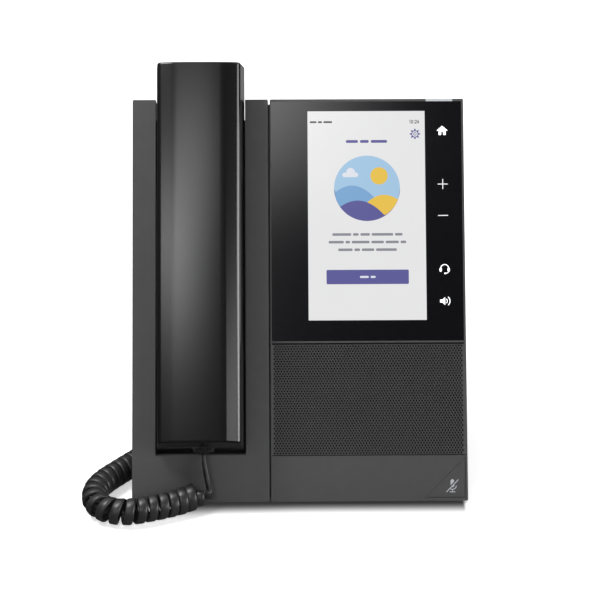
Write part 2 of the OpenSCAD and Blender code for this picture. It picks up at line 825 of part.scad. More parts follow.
module hook_spring() {
    color("silver") on_face() along_u(handset_u - 1.5, handset_u + 1.5) polygon([
        [hook_v - 9, -board_w], [hook_v - 6, -board_w], [hook_v + 1, hook_flange - 0.5],
        [hook_v + 3, hook_flange - 0.5], [hook_v + 3, hook_flange - 0.2],
        [hook_v + 0.9, hook_flange - 0.2], [hook_v - 6.1, -board_w + 0.3],
        [hook_v - 9, -board_w + 0.3]
    ]);
}

module hanger_tab() {
    color("#3c3d40") on_face()
        block([handset_u - 6, face_h - 26, -trough_d - 1.2],
              [handset_u + 6, face_h - 16, -trough_d]);
}

module cradle_pads() {
    color("#1a1a1b") on_face() at_pads()
        block([0.1 - pad_half[0], 0.1 - pad_half[1], -pad_pocket],
              [pad_half[0] - 0.1, pad_half[1] - 0.1, pad_rise]);
}

module desk_microphone() {
    color("#8d8f92") on_face() rod([disp_u0 + 20, bar_v0 + 12.4], 6, -front_t - 2.5, -front_t);
}

// ---------- Feet, stand and screws ----------

front_foot = [44, 8];

module front_feet() {
    color("#19191a") for (u = [(cradle_u0 + cradle_u1) / 2, (disp_u0 + disp_u1) / 2])
        translate([u - front_foot[0] / 2, face_y + 3, 0])
            cube([front_foot[0], front_foot[1], foot_t]);
}

plate_w1 = -body_d - slide_gap;
plate_w0 = plate_w1 - stand_t;
plate_top = plate_v + plate_l;
leg_foot = side_point(stand_reach - 4, foot_t);
leg_toe = side_point(stand_reach, foot_t);
leg_heel = side_point(stand_reach - 14, foot_t);

module stand() {
    hook_in = cover_in + 0.3;
    color("#2c2d2f") on_face() {
        difference() {
            along_u(-stand_half, stand_half) polygon([
                [plate_top, plate_w1], [plate_top, plate_w0],
                leg_toe, leg_heel, leg_heel + [3, 3],
                [plate_top - stand_t * 1.6, plate_w0], [plate_v, plate_w0], [plate_v, plate_w1]
            ]);
            block([-stand_half + 16, leg_foot[0] + 14, -body_d * 6],
                  [stand_half - 16, plate_top - 12, plate_w0 - 4]);
        }
        for (u = [-stand_half, stand_half - stand_t]) along_u(u, u + stand_t) polygon([
            [plate_v + 3, plate_w0 + eps], [plate_top - 6, plate_w0 + eps],
            (leg_foot + [plate_top, plate_w0]) / 2 + [1, 0]
        ]);
        for (u = slot_u, v = slot_top) {
            block([u - hook_tab_w / 2, v - 6.3, plate_w1 - eps],
                  [u + hook_tab_w / 2, v - 0.3, hook_in + 2]);
            block([u - hook_tab_w / 2, v - 6.3, hook_in],
                  [u + hook_tab_w / 2, v + 3.7, hook_in + 2]);
        }
    }
}

module stand_feet() {
    color("#19191a") for (u = [-stand_half + 2, stand_half - 22])
        translate([u, face_y + stand_reach - 12, 0]) cube([20, 9, foot_t]);
}

module cover_screws() {
    color("#8a8c90") on_face() for (b = concat(cradle_bosses, display_bosses)) difference() {
        union() {
            rod(b, screw_d, screw_seat - eps, tub_w - 0.5);
            rod(b, head_d, screw_seat - head_h, screw_seat);
        }
        rod(b, 2, screw_seat - head_h - 1, screw_seat - head_h + 1);
    }
}

module board_screws() {
    color("silver") on_face() for (p = board_posts) difference() {
        union() {
            rod(p, board_screw_d, board_back - 5, -board_w + eps);
            rod(p, board_screw_d + 2.3, -board_w, -board_w + 1.5);
        }
        rod(p, 1.4, -board_w + 0.7, -board_w + 2);
    }
}

// ---------- Handset ----------

crown_half = (handset_l - low_taper - top_taper) / 2;
crown_r = (crown_half * crown_half + crown * crown) / (2 * crown);
crown_mid = [handset_v0 + low_taper + crown_half, handset_front + crown - crown_r];
crown_a = asin(crown_half / crown_r);

// Side view of the handset, shrunk by inset
module handset_side(inset) {
    grip_v0 = handset_v0 + mouth_l + inset;
    grip_v1 = handset_v1 - ear_l - inset;
    polygon(concat(
        [[handset_v0 + inset, handset_back + inset]],
        circle_points(crown_mid, crown_r - inset, 90 + crown_a * (1 - inset / crown_half),
                      90 - crown_a * (1 - inset / crown_half), 14),
        [
            [handset_v1 - inset, handset_back + inset],
            [grip_v1 + 2 * inset, handset_back + inset],
            [grip_v1 + 2 * inset - slope_l, grip_back + inset],
            [grip_v0 - 2 * inset + slope_l, grip_back + inset],
            [grip_v0 - 2 * inset, handset_back + inset]
        ]
    ));
}

// Section of the handset, shrunk by inset
module handset_section(inset) {
    low = [handset_w / 2 - inset, handset_back];
    high = [handset_w / 2 - inset - handset_draft, handset_front];
    top = high + (high - low) * (crown + 1) / handset_h;
    polygon([
        [handset_u - low[0], low[1]], [handset_u - top[0], top[1]],
        [handset_u + top[0], top[1]], [handset_u + low[0], low[1]]
    ]);
}

module handset_form(inset) {
    intersection() {
        along_u(handset_u - handset_w, handset_u + handset_w) handset_side(inset);
        along_v(handset_v0 - 5, handset_v1 + 5) handset_section(inset);
    }
}

module handset_half(w0, w1) {
    intersection() {
        difference() {
            handset_form(0);
            handset_form(shell);
        }
        block([handset_u - handset_w, handset_v0 - 5, w0],
              [handset_u + handset_w, handset_v1 + 5, w1]);
    }
}

hs_socket_size = [11, 15, 10];
hs_screw_at = [[handset_u, handset_v0 + mouth_l + slope_l + 10],
               [handset_u, handset_v1 - ear_l - slope_l - 10]];
receiver_t = 6;
receiver_w = handset_back + shell + 1;

module socket_space(grow, v0) {
    block([handset_jack_at - hs_socket_size[0] / 2 - grow, v0,
           handset_jack_w - hs_socket_size[2] / 2 - grow],
          [handset_jack_at + hs_socket_size[0] / 2 + grow,
           handset_v0 + low_taper + hs_socket_size[1] + grow,
           handset_jack_w + hs_socket_size[2] / 2 + grow]);
}

module handset_outer_shell() {
    color("#242528") on_face() difference() {
        union() {
            handset_half(split_w, handset_front + crown + 5);
            for (p = hs_screw_at) rod(p, 6, split_w, handset_front + crown - shell + 0.5);
        }
        for (p = hs_screw_at) rod(p, 2.5, split_w - 1, split_w + 7);
        socket_space(0.2, handset_v0 - 1);
    }
}

module handset_inner_shell() {
    color("#242528") on_face() difference() {
        union() {
            handset_half(handset_back - 5, split_w);
            difference() {
                rod([handset_u, ear_v], receiver_d + 3, handset_back + eps, receiver_w);
                rod([handset_u, ear_v], receiver_d - 3, handset_back, receiver_w + 1);
            }
        }
        for (a = [0:60:300]) rod([handset_u + 6 * cos(a), ear_v + 6 * sin(a)], 2,
                                 handset_back - 1, handset_back + shell + 1);
        rod([handset_u, ear_v], 2, handset_back - 1, handset_back + shell + 1);
        rod([handset_u, mouth_v], 1.6, handset_back - 1, handset_back + shell + 1);
        for (p = hs_screw_at) {
            rod(p, 2.5, grip_back - 1, split_w + 1);
            rod(p, 4.6, grip_back - 1, grip_back + 0.9);
        }
        socket_space(0.2, handset_v0 - 1);
    }
}

module ear_receiver() {
    color("#5b5d61") on_face() {
        rod([handset_u, ear_v], receiver_d, receiver_w + 0.8, receiver_w + 3.4);
        rod([handset_u, ear_v], receiver_d - 8, receiver_w + 3.4, receiver_w + receiver_t);
    }
}

module ear_gasket() {
    color("#18181a") on_face() difference() {
        rod([handset_u, ear_v], receiver_d + 1, receiver_w, receiver_w + 0.8);
        rod([handset_u, ear_v], receiver_d - 3, receiver_w - 1, receiver_w + 2);
    }
}

module mouth_microphone() {
    color("#8d8f92") on_face()
        rod([handset_u, mouth_v], capsule_d, handset_back + shell + 1, handset_back + shell + 3.7);
}

module mic_boot() {
    color("#18181a") on_face() difference() {
        rod([handset_u, mouth_v], capsule_d + 3, handset_back + shell, handset_back + shell + 4.5);
        rod([handset_u, mouth_v], capsule_d, handset_back + shell + 1, handset_back + shell + 6);
        rod([handset_u, mouth_v], 1.6, handset_back, handset_back + shell + 2);
    }
}

module handset_weight() {
    color("#8a8c90") on_face()
        block([handset_u - 14, ear_v - 18, receiver_w + receiver_t + 1.4 + eps],
              [handset_u + 14, ear_v + 14, handset_front - shell - 3]);
    color("#8a8c90") on_face() for (v = [ear_v - 18, ear_v + 10])
        block([handset_u - handset_w / 2 + shell + 1.3, v, receiver_w + receiver_t + 1.4],
              [handset_u + handset_w / 2 - shell - 1.3, v + 4, receiver_w + receiver_t + 3.4]);
}

module handset_socket() {
    color("#2a2b2e") on_face() difference() {
        intersection() {
            socket_space(0, handset_v0);
            handset_form(0.2);
        }
        block([handset_jack_at - rj9_w / 2, handset_v0 - 1, handset_jack_w - rj9_h / 2],
              [handset_jack_at + rj9_w / 2, handset_v0 + low_taper + jack_depth,
               handset_jack_w + rj9_h / 2]);
    }
}

module handset_screws() {
    color("silver") on_face() for (p = hs_screw_at) {
        rod(p, 2.5, grip_back + 0.9 - eps, split_w + 6);
        rod(p, 4.4, grip_back + 0.1, grip_back + 0.9);
    }
}

// ---------- Cord ----------

// Route points as [x, distance behind the face's bottom edge, height]
lead_route = [
    [-49.8, 6.6, 21.6], [-48.9, 3.4, 17], [-47.6, -0.2, 12], [-46.5, -3.4, 9], [-47.4, -4.9, 8.6],
    [-50, -4.8, 9.2]
];
coil_route = [
    [-50, -4.8, 9.2], [-54, -5.6, 8.5], [-58, -7, 7.7], [-62, -8.8, 7.2], [-66, -10.6, 7],
    [-71.8, -13.2, 7], [-78.7, -15.8, 7], [-84.5, -17.7, 7], [-90, -18.4, 7], [-95, -17.6, 7],
    [-99.3, -15.6, 7], [-102.6, -12.6, 7], [-104.8, -9, 7], [-106, -5, 7], [-106.3, -1, 7],
    [-106, 3, 7], [-104.6, 8, 7], [-101.4, 14, 7], [-96.4, 21, 7], [-91.4, 27.6, 7],
    [-86.6, 34, 7], [-81.6, 40, 7], [-76.2, 45, 7], [-70, 49, 7], [-60, 53.4, 7], [-50, 56, 7],
    [-40, 58.5, 7], [-30, 61, 7], [-20, 64, 7], [-10, 68, 7], [-2, 73, 7], [4, 80, 7]
];
tail_route = [
    [4, 80, 7], [5.8, 84.4, 7], [5, 89, 7.6], [1, 92.4, 9.6], [-4, 90, 13.6], [-7.4, 83.4, 18.6],
    [-8, 76, 23]
];

function at_edge(p) = p + [0, face_y, 0];
function unit(v) = v / norm(v);
function heading(p, i) = unit(p[min(i + 1, len(p) - 1)] - p[max(i - 1, 0)]);

// Cross-section frame at each point: sideways direction, kept from turning over
function sideways(p, i) =
    let (d = heading(p, i), s = cross(d, [0, -0.866, 0.5]), t = cross(d, [0, 0, 1]))
    norm(s) > 0.3 ? unit(s) : unit(t);

module tube(p, w, t, sides) {
    n = len(p);
    rings = [for (i = [0:n - 1]) let (s = sideways(p, i), u = cross(s, heading(p, i)))
        for (k = [0:sides - 1]) let (a = 360 * k / sides)
            p[i] + s * (w / 2 * cos(a)) + u * (t / 2 * sin(a))];
    polyhedron(rings, concat(
        [[for (k = [0:sides - 1]) k]],
        [[for (k = [sides - 1:-1:0]) (n - 1) * sides + k]],
        [for (i = [0:n - 2], k = [0:sides - 1]) let (a = i * sides + k,
            b = i * sides + (k + 1) % sides) [b, a, a + sides, b + sides]]
    ), convexity = 4);
}

// The plugs' back faces, where the cord leaves them
plug_nose = 0.5;
handset_plug_end = [handset_jack_at, handset_v0 - plug_nose - 0.1, handset_jack_w];
base_plug_end = [handset_jack_u, jack_v, -body_d - plug_out];
function from_face(p) = [
    p[0],
    face_y + p[1] * sin(lean) - p[2] * cos(lean),
    face_z + p[1] * cos(lean) + p[2] * sin(lean)
];

module handset_plug() {
    color("#77797c") on_face() {
        block([handset_jack_at - rj9_w / 2 + plug_gap, lead_v, handset_jack_w - rj9_h / 2 + plug_gap],
              [handset_jack_at + rj9_w / 2 - plug_gap, handset_v0 + low_taper + jack_depth - 0.5,
               handset_jack_w + rj9_h / 2 - plug_gap]);
        block([handset_jack_at - cord_w / 2 - 0.2, handset_v0 - plug_nose, handset_jack_w - cord_t / 2 - 0.2],
              [handset_jack_at + cord_w / 2 + 0.2, lead_v + eps, handset_jack_w + cord_t / 2 + 0.2]);
    }
}

module base_plug() {
    color("#77797c") on_face()
        block([handset_jack_u - rj9_w / 2 + plug_gap, jack_v - rj9_h / 2 + plug_gap,
               -body_d - plug_out],
              [handset_jack_u + rj9_w / 2 - plug_gap, jack_v + rj9_h / 2 - plug_gap,
               -body_d - plug_out + plug_l]);
}

module cord_lead() {
    color("#1b1b1c")
        tube(concat([from_face(handset_plug_end), from_face(handset_plug_end - [0, 5, 0])],
                    [for (p = lead_route) at_edge(p)]),
             cord_w, cord_t, 8);
}

module cord_coil() {
    color("#1b1b1c") tube([for (p = coil_route) at_edge(p)], coil_d, coil_d, 12);
}

module cord_tail() {
    color("#1b1b1c")
        tube(concat([for (p = tail_route) at_edge(p)], [from_face(base_plug_end)]),
             cord_w, cord_t, 8);
}

cradle_housing();
display_housing();
rear_cover();
cover_glass();
lcd_panel();
lcd_backlight();
speaker_grille();
grille_cloth();
speaker_gasket();
speaker_basket();
speaker_cone();
speaker_magnet();
speaker_screws();
bottom_bar();
mute_key();
mute_switch();
mute_board();
message_light();
light_board();
key_light_board();
main_board();
board_chips();
shield_cans();
port_panel();
network_jack();
pc_jack();
handset_jack();
headset_jack();
power_jack();
usb_port();
hook_button();
hook_switch();
hook_spring();
hanger_tab();
cradle_pads();
desk_microphone();
security_insert();
rating_plate();
front_feet();
cover_screws();
board_screws();
stand();
stand_feet();
handset_outer_shell();
handset_inner_shell();
ear_receiver();
ear_gasket();
mouth_microphone();
mic_boot();
handset_weight();
handset_socket();
handset_screws();
handset_plug();
cord_lead();
cord_coil();
cord_tail();
base_plug();
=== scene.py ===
"""Desk telephone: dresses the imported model, and sets the floor, the light and the camera."""

import bpy
import bmesh
from math import atan2, ceil, cos, pi, radians, sin, sqrt
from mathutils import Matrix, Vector


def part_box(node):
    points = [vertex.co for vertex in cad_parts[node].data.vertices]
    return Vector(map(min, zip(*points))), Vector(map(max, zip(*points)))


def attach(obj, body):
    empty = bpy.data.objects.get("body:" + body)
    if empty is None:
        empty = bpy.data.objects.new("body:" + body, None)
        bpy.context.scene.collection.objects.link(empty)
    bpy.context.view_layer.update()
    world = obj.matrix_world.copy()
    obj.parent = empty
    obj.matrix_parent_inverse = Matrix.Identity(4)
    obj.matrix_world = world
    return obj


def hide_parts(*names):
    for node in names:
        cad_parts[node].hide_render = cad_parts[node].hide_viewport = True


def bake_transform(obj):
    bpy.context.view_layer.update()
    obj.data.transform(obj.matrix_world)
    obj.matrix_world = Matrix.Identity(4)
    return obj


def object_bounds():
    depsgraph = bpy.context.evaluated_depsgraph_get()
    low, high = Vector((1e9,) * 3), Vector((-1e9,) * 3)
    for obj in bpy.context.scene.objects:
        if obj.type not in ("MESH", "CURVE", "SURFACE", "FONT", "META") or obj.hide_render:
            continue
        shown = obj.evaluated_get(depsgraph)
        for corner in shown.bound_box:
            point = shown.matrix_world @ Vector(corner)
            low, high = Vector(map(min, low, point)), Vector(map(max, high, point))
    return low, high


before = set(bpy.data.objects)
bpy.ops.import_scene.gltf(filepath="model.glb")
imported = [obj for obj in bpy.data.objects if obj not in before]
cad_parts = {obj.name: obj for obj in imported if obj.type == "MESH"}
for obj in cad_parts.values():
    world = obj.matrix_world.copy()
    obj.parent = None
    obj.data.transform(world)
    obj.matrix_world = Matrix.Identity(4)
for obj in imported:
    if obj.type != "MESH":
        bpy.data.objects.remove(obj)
cad_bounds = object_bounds()

# ---------- Places ----------

MM = 0.001
LEAN = radians(30)
FACE_UP = Vector((0, sin(LEAN), cos(LEAN)))
FACE_OUT = Vector((0, -cos(LEAN), sin(LEAN)))
FOOT_SETBACK = 3 * MM
front_foot_low, front_foot_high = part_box("front_feet")
FACE_ORIGIN = Vector((0, front_foot_low[1] - FOOT_SETBACK, front_foot_high[2]))


def on_face(u, v, w=0.0):
    """The point at u mm right, v mm up the face and w mm out of it, in metres."""
    return FACE_ORIGIN + Vector((u * MM, 0, 0)) + FACE_UP * (v * MM) + FACE_OUT * (w * MM)


def face_place(point):
    """(u, v, w) in mm of a point in metres."""
    d = Vector(point) - FACE_ORIGIN
    return Vector((d.x, d.dot(FACE_UP), d.dot(FACE_OUT))) / MM


def node_span(node):
    """Lowest and highest (u, v, w) of a CAD node, in mm."""
    places = [face_place(v.co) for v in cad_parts[node].data.vertices]
    low = Vector(min(p[i] for p in places) for i in range(3))
    high = Vector(max(p[i] for p in places) for i in range(3))
    return low, high


# ---------- Camera ----------

CAMERA_ELEVATION = radians(25)
CAMERA_ROLL = radians(-0.05)
CAMERA_AZIMUTH = radians(-0.55)
CAMERA_DISTANCE = 1.05
LENS = 120
SENSOR_WIDTH = 36
AIM = on_face(0.5, 105.3)

camera_data = bpy.data.cameras.new("camera")
camera_data.lens = LENS
camera_data.sensor_width = SENSOR_WIDTH
camera = bpy.data.objects.new("camera", camera_data)
bpy.context.scene.collection.objects.link(camera)
toward = Vector((sin(CAMERA_AZIMUTH) * cos(CAMERA_ELEVATION),
                 -cos(CAMERA_AZIMUTH) * cos(CAMERA_ELEVATION), sin(CAMERA_ELEVATION)))
camera.location = AIM + toward * CAMERA_DISTANCE
camera.rotation_euler = (radians(90) - CAMERA_ELEVATION, 0, CAMERA_AZIMUTH)
camera.rotation_euler.rotate_axis("Z", CAMERA_ROLL)
bpy.context.scene.camera = camera

# ---------- Mesh helpers ----------


def new_piece(name, verts, faces, material, body, smooth=False):
    """A mesh piece in metres, with one material, riding on a body."""
    mesh = bpy.data.meshes.new(name)
    mesh.from_pydata([tuple(v) for v in verts], [], faces)
    mesh.validate()
    mesh.materials.append(material)
    if smooth:
        mesh.shade_smooth()
    piece = bpy.data.objects.new(name, mesh)
    bpy.context.scene.collection.objects.link(piece)
    if body:
        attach(piece, body)
    return piece


def round_edges(piece, width, segments=3, angle=30):
    """Rounds a piece's sharp edges, width in mm."""
    bevel = piece.modifiers.new("rounding", "BEVEL")
    bevel.width = width * MM
    bevel.segments = segments
    bevel.limit_method = "ANGLE"
    bevel.angle_limit = radians(angle)
    bevel.harden_normals = True


def prism(name, outline, w0, w1, material, body):
    """A closed prism on the face: outline as (u, v) in mm, from depth w0 to w1."""
    n = len(outline)
    verts = [on_face(u, v, w0) for u, v in outline] + [on_face(u, v, w1) for u, v in outline]
    faces = [list(range(n))[::-1], [n + i for i in range(n)]]
    faces += [[i, (i + 1) % n, n + (i + 1) % n, n + i] for i in range(n)]
    return new_piece(name, verts, faces, material, body)


def join(name, pieces, body):
    """Joins several mesh pieces into one, keeping their materials."""
    bm = bmesh.new()
    materials = []
    for piece in pieces:
        start = len(bm.faces)
        bm.from_mesh(piece.data)
        bm.faces.ensure_lookup_table()
        for face in list(bm.faces)[start:]:
            material = piece.data.materials[face.material_index]
            if material not in materials:
                materials.append(material)
            face.material_index = materials.index(material)
    mesh = bpy.data.meshes.new(name)
    bm.to_mesh(mesh)
    bm.free()
    for material in materials:
        mesh.materials.append(material)
    for piece in pieces:
        bpy.data.objects.remove(piece, do_unlink=True)
    joined = bpy.data.objects.new(name, mesh)
    bpy.context.scene.collection.objects.link(joined)
    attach(joined, body)
    return joined


def smooth_curve(points, step):
    """Points about step apart along a Catmull-Rom curve through the given ones."""
    pts = [Vector(p) for p in points]
    pts = [pts[0] * 2 - pts[1]] + pts + [pts[-1] * 2 - pts[-2]]
    fine = []
    for i in range(1, len(pts) - 2):
        a, b, c, d = pts[i - 1:i + 3]
        count = max(2, ceil((c - b).length / (step * 0.25)))
        for k in range(count):
            t = k / count
            fine.append(0.5 * (2 * b + (c - a) * t + (2 * a - 5 * b + 4 * c - d) * t * t
                               + (3 * b - a - 3 * c + d) * t ** 3))
    fine.append(pts[-2])
    lengths = [0.0]
    for p, q in zip(fine, fine[1:]):
        lengths.append(lengths[-1] + (q - p).length)
    total = lengths[-1]
    count = max(2, round(total / step))
    out, j = [], 0
    for k in range(count + 1):
        s = total * k / count
        while j < len(lengths) - 2 and lengths[j + 1] < s:
            j += 1
        span = lengths[j + 1] - lengths[j]
        f = (s - lengths[j]) / span if span > 0 else 0
        out.append(fine[j].lerp(fine[j + 1], min(max(f, 0), 1)))
    return out


# ---------- Shader helpers ----------


def add(tree, kind, **settings):
    """A new shader node with its properties set."""
    node = tree.nodes.new(kind)
    for key, value in settings.items():
        setattr(node, key, value)
    return node


def effect_group(name, inputs, outputs):
    """A node group with float or colour sockets; returns (tree, input node, output node)."""
    tree = bpy.data.node_groups.new(name, "ShaderNodeTree")
    for socket, kind, value in inputs:
        item = tree.interface.new_socket(socket, in_out="INPUT", socket_type=kind)
        if value is not None:
            item.default_value = value
    for socket, kind in outputs:
        tree.interface.new_socket(socket, in_out="OUTPUT", socket_type=kind)
    return tree, add(tree, "NodeGroupInput"), add(tree, "NodeGroupOutput")


FLOAT = "NodeSocketFloat"
# Sizes of the noises, as features in a metre
PITS_SCALE = 2400
DRIFT_SCALE = 38
WEAR_SCALE = 180
PIT_DEPTH = 0.0002


def make_grain():
    """Moulded grain: fine pits for the bump, and slow drifts of tone."""
    tree, gin, gout = effect_group(
        "moulded_grain",
        [("Scale", FLOAT, 1.0), ("Drift", FLOAT, 0.1)],
        [("Pits", FLOAT), ("Tone", FLOAT)])
    place = add(tree, "ShaderNodeTexCoord")
    fine = add(tree, "ShaderNodeTexNoise")
    fine.inputs["Detail"].default_value = 3
    fine.inputs["Roughness"].default_value = 0.6
    size = add(tree, "ShaderNodeMath", operation="MULTIPLY")
    size.inputs[1].default_value = PITS_SCALE
    slow = add(tree, "ShaderNodeTexNoise")
    slow.inputs["Scale"].default_value = DRIFT_SCALE
    slow.inputs["Detail"].default_value = 2
    centred = add(tree, "ShaderNodeMath", operation="SUBTRACT")
    centred.inputs[1].default_value = 0.5
    drift = add(tree, "ShaderNodeMath", operation="MULTIPLY")
    tone = add(tree, "ShaderNodeMath", operation="ADD")
    tone.inputs[1].default_value = 1.0
    link = tree.links.new
    link(gin.outputs["Scale"], size.inputs[0])
    link(place.outputs["Object"], fine.inputs["Vector"])
    link(size.outputs[0], fine.inputs["Scale"])
    link(place.outputs["Object"], slow.inputs["Vector"])
    link(slow.outputs["Fac"], centred.inputs[0])
    link(centred.outputs[0], drift.inputs[0])
    link(gin.outputs["Drift"], drift.inputs[1])
    link(drift.outputs[0], tone.inputs[0])
    link(fine.outputs["Fac"], gout.inputs["Pits"])
    link(tone.outputs[0], gout.inputs["Tone"])
    return tree


def make_edge_wear():
    """A mask that is 1 on outward edges, from the surface's own pointiness."""
    tree, gin, gout = effect_group(
        "edge_wear", [("Amount", FLOAT, 0.5)], [("Mask", FLOAT)])
    shape = add(tree, "ShaderNodeNewGeometry")
    edge = add(tree, "ShaderNodeMapRange", interpolation_type="SMOOTHSTEP")
    edge.inputs["From Min"].default_value = 0.51
    edge.inputs["From Max"].default_value = 0.60
    patchy = add(tree, "ShaderNodeTexNoise")
    patchy.inputs["Scale"].default_value = WEAR_SCALE
    mixed = add(tree, "ShaderNodeMath", operation="MULTIPLY")
    scaled = add(tree, "ShaderNodeMath", operation="MULTIPLY", use_clamp=True)
    place = add(tree, "ShaderNodeTexCoord")
    link = tree.links.new
    link(place.outputs["Object"], patchy.inputs["Vector"])
    link(shape.outputs["Pointiness"], edge.inputs["Value"])
    link(edge.outputs["Result"], mixed.inputs[0])
    link(patchy.outputs["Fac"], mixed.inputs[1])
    link(mixed.outputs[0], scaled.inputs[0])
    link(gin.outputs["Amount"], scaled.inputs[1])
    link(scaled.outputs[0], gout.inputs["Mask"])
    return tree


GRAIN = make_grain()
EDGE_WEAR = make_edge_wear()


def use_group(tree, group, **values):
    """A material's own copy of an effect, with its values."""
    node = add(tree, "ShaderNodeGroup")
    node.node_tree = group
    for key, value in values.items():
        node.inputs[key].default_value = value
    return node


def finish_material(name, colour, roughness, grain=1.0, bump=0.1, drift=0.25, wear=0.3,
                    worn=None, metallic=0.0, specular=0.5, coat=0.0, coat_roughness=0.1,
                    rough_swing=0.08, emission=None, strength=0.0):
    """A moulded or plated finish: tone drift, roughness swing, grain bump and worn edges."""
    material = bpy.data.materials.new(name)
    material.use_nodes = True
    tree = material.node_tree
    shader = tree.nodes["Principled BSDF"]
    shader.inputs["Metallic"].default_value = metallic
    shader.inputs["Specular IOR Level"].default_value = specular
    shader.inputs["Coat Weight"].default_value = coat
    shader.inputs["Coat Roughness"].default_value = coat_roughness
    grain_node = use_group(tree, GRAIN, Scale=grain, Drift=drift)
    wear_node = use_group(tree, EDGE_WEAR, Amount=wear)
    base = add(tree, "ShaderNodeMix", data_type="RGBA")
    base.inputs["A"].default_value = (*colour, 1)
    base.inputs["B"].default_value = (*(worn or [min(1, c * 1.8 + 0.01) for c in colour]), 1)
    toned = add(tree, "ShaderNodeVectorMath", operation="SCALE")
    rough = add(tree, "ShaderNodeMapRange")
    rough.inputs["From Min"].default_value = 0.3
    rough.inputs["From Max"].default_value = 0.7
    rough.inputs["To Min"].default_value = max(0.02, roughness - rough_swing / 2)
    rough.inputs["To Max"].default_value = roughness + rough_swing / 2
    relief = add(tree, "ShaderNodeBump")
    relief.inputs["Strength"].default_value = bump
    relief.inputs["Distance"].default_value = PIT_DEPTH
    link = tree.links.new
    link(wear_node.outputs["Mask"], base.inputs["Factor"])
    link(base.outputs["Result"], toned.inputs[0])
    link(grain_node.outputs["Tone"], toned.inputs["Scale"])
    link(toned.outputs["Vector"], shader.inputs["Base Color"])
    link(grain_node.outputs["Pits"], rough.inputs["Value"])
    link(rough.outputs["Result"], shader.inputs["Roughness"])
    link(grain_node.outputs["Pits"], relief.inputs["Height"])
    link(relief.outputs["Normal"], shader.inputs["Normal"])
    if emission is not None:
        lit = add(tree, "ShaderNodeVectorMath", operation="SCALE")
        lit.inputs[0].default_value = emission
        link(grain_node.outputs["Tone"], lit.inputs["Scale"])
        link(lit.outputs["Vector"], shader.inputs["Emission Color"])
        shader.inputs["Emission Strength"].default_value = strength
    return material


# ---------- Finishes ----------

housing_finish = finish_material("charcoal_housing", (0.042, 0.042, 0.042), 0.52, bump=0.28,
                                 drift=0.12, wear=0.25)
bar_finish = finish_material("charcoal_bar", (0.036, 0.036, 0.036), 0.5, bump=0.22, drift=0.1,
                             wear=0.25)
cover_finish = finish_material("dark_back", (0.020, 0.020, 0.0205), 0.55, bump=0.3, wear=0.3)
handset_finish = finish_material("satin_handset", (0.005, 0.005, 0.005), 0.21, bump=0.05,
                                 grain=1.2, drift=0.15, wear=0.2, rough_swing=0.05)
grille_finish = finish_material("grille_plastic", (0.048, 0.048, 0.048), 0.5, bump=0.15,
                                wear=0.15)
glass_finish = finish_material("black_glass", (0.004, 0.004, 0.005), 0.09, bump=0.0, drift=0.4,
                               wear=0.0, rough_swing=0.02, specular=0.5)
rubber_finish = finish_material("black_rubber", (0.012, 0.012, 0.012), 0.8, grain=0.5, bump=0.4)
# Black acoustic cloth; the same black also makes the painted shade strips in the grille's gaps
cloth_and_shade_finish = finish_material("acoustic_cloth_and_shade", (0.002, 0.002, 0.002), 0.95, grain=0.4, bump=0.6)
cord_finish = finish_material("cord_jacket", (0.016, 0.016, 0.016), 0.4, grain=0.6, bump=0.1,
                              wear=0.1)
steel_finish = finish_material("plated_steel", (0.55, 0.56, 0.57), 0.3, metallic=1.0, bump=0.1,
                               grain=0.3, rough_swing=0.15)
screw_finish = finish_material("screw_steel", (0.32, 0.32, 0.33), 0.35, metallic=1.0, bump=0.1,
                               grain=0.3, rough_swing=0.15)
board_finish = finish_material("green_board", (0.012, 0.09, 0.04), 0.45, grain=0.2, bump=0.2,
                               drift=0.5)
chip_finish = finish_material("chip_epoxy", (0.012, 0.012, 0.014), 0.6, bump=0.3)
socket_finish = finish_material("socket_plastic", (0.035, 0.035, 0.04), 0.45, bump=0.2)
light_finish = finish_material("milky_light", (0.42, 0.44, 0.46), 0.4, bump=0.05, drift=0.05,
                               wear=0.0)
label_finish = finish_material("bare_label", (0.30, 0.31, 0.32), 0.42, grain=0.3, bump=0.05)
plug_finish = finish_material("smoky_plug", (0.001, 0.001, 0.001), 0.9, bump=0.02)
magnet_finish = finish_material("magnet_steel", (0.25, 0.25, 0.26), 0.4, metallic=0.8, bump=0.2)
mark_finish = finish_material("lit_marks", (0.8, 0.8, 0.8), 0.3, bump=0.0, drift=0.04, wear=0.0,
                              emission=(0.85, 0.86, 0.88), strength=0.9)
dim_mark_finish = finish_material("dim_marks", (0.5, 0.5, 0.5), 0.3, bump=0.0, drift=0.04,
                                  wear=0.0, emission=(0.85, 0.86, 0.88), strength=0.5)
mute_mark_finish = finish_material("printed_mark", (0.40, 0.41, 0.46), 0.45, bump=0.05,
                                   drift=0.06, wear=0.0)


def screen_material(name, colour, level=1.0):
    """A lit patch of the screen under glass, with a faint drift of brightness."""
    return finish_material(name, tuple(c * 0.02 for c in colour), 0.09, bump=0.0, drift=0.03,
                           wear=0.0, rough_swing=0.01, emission=colour, strength=level)


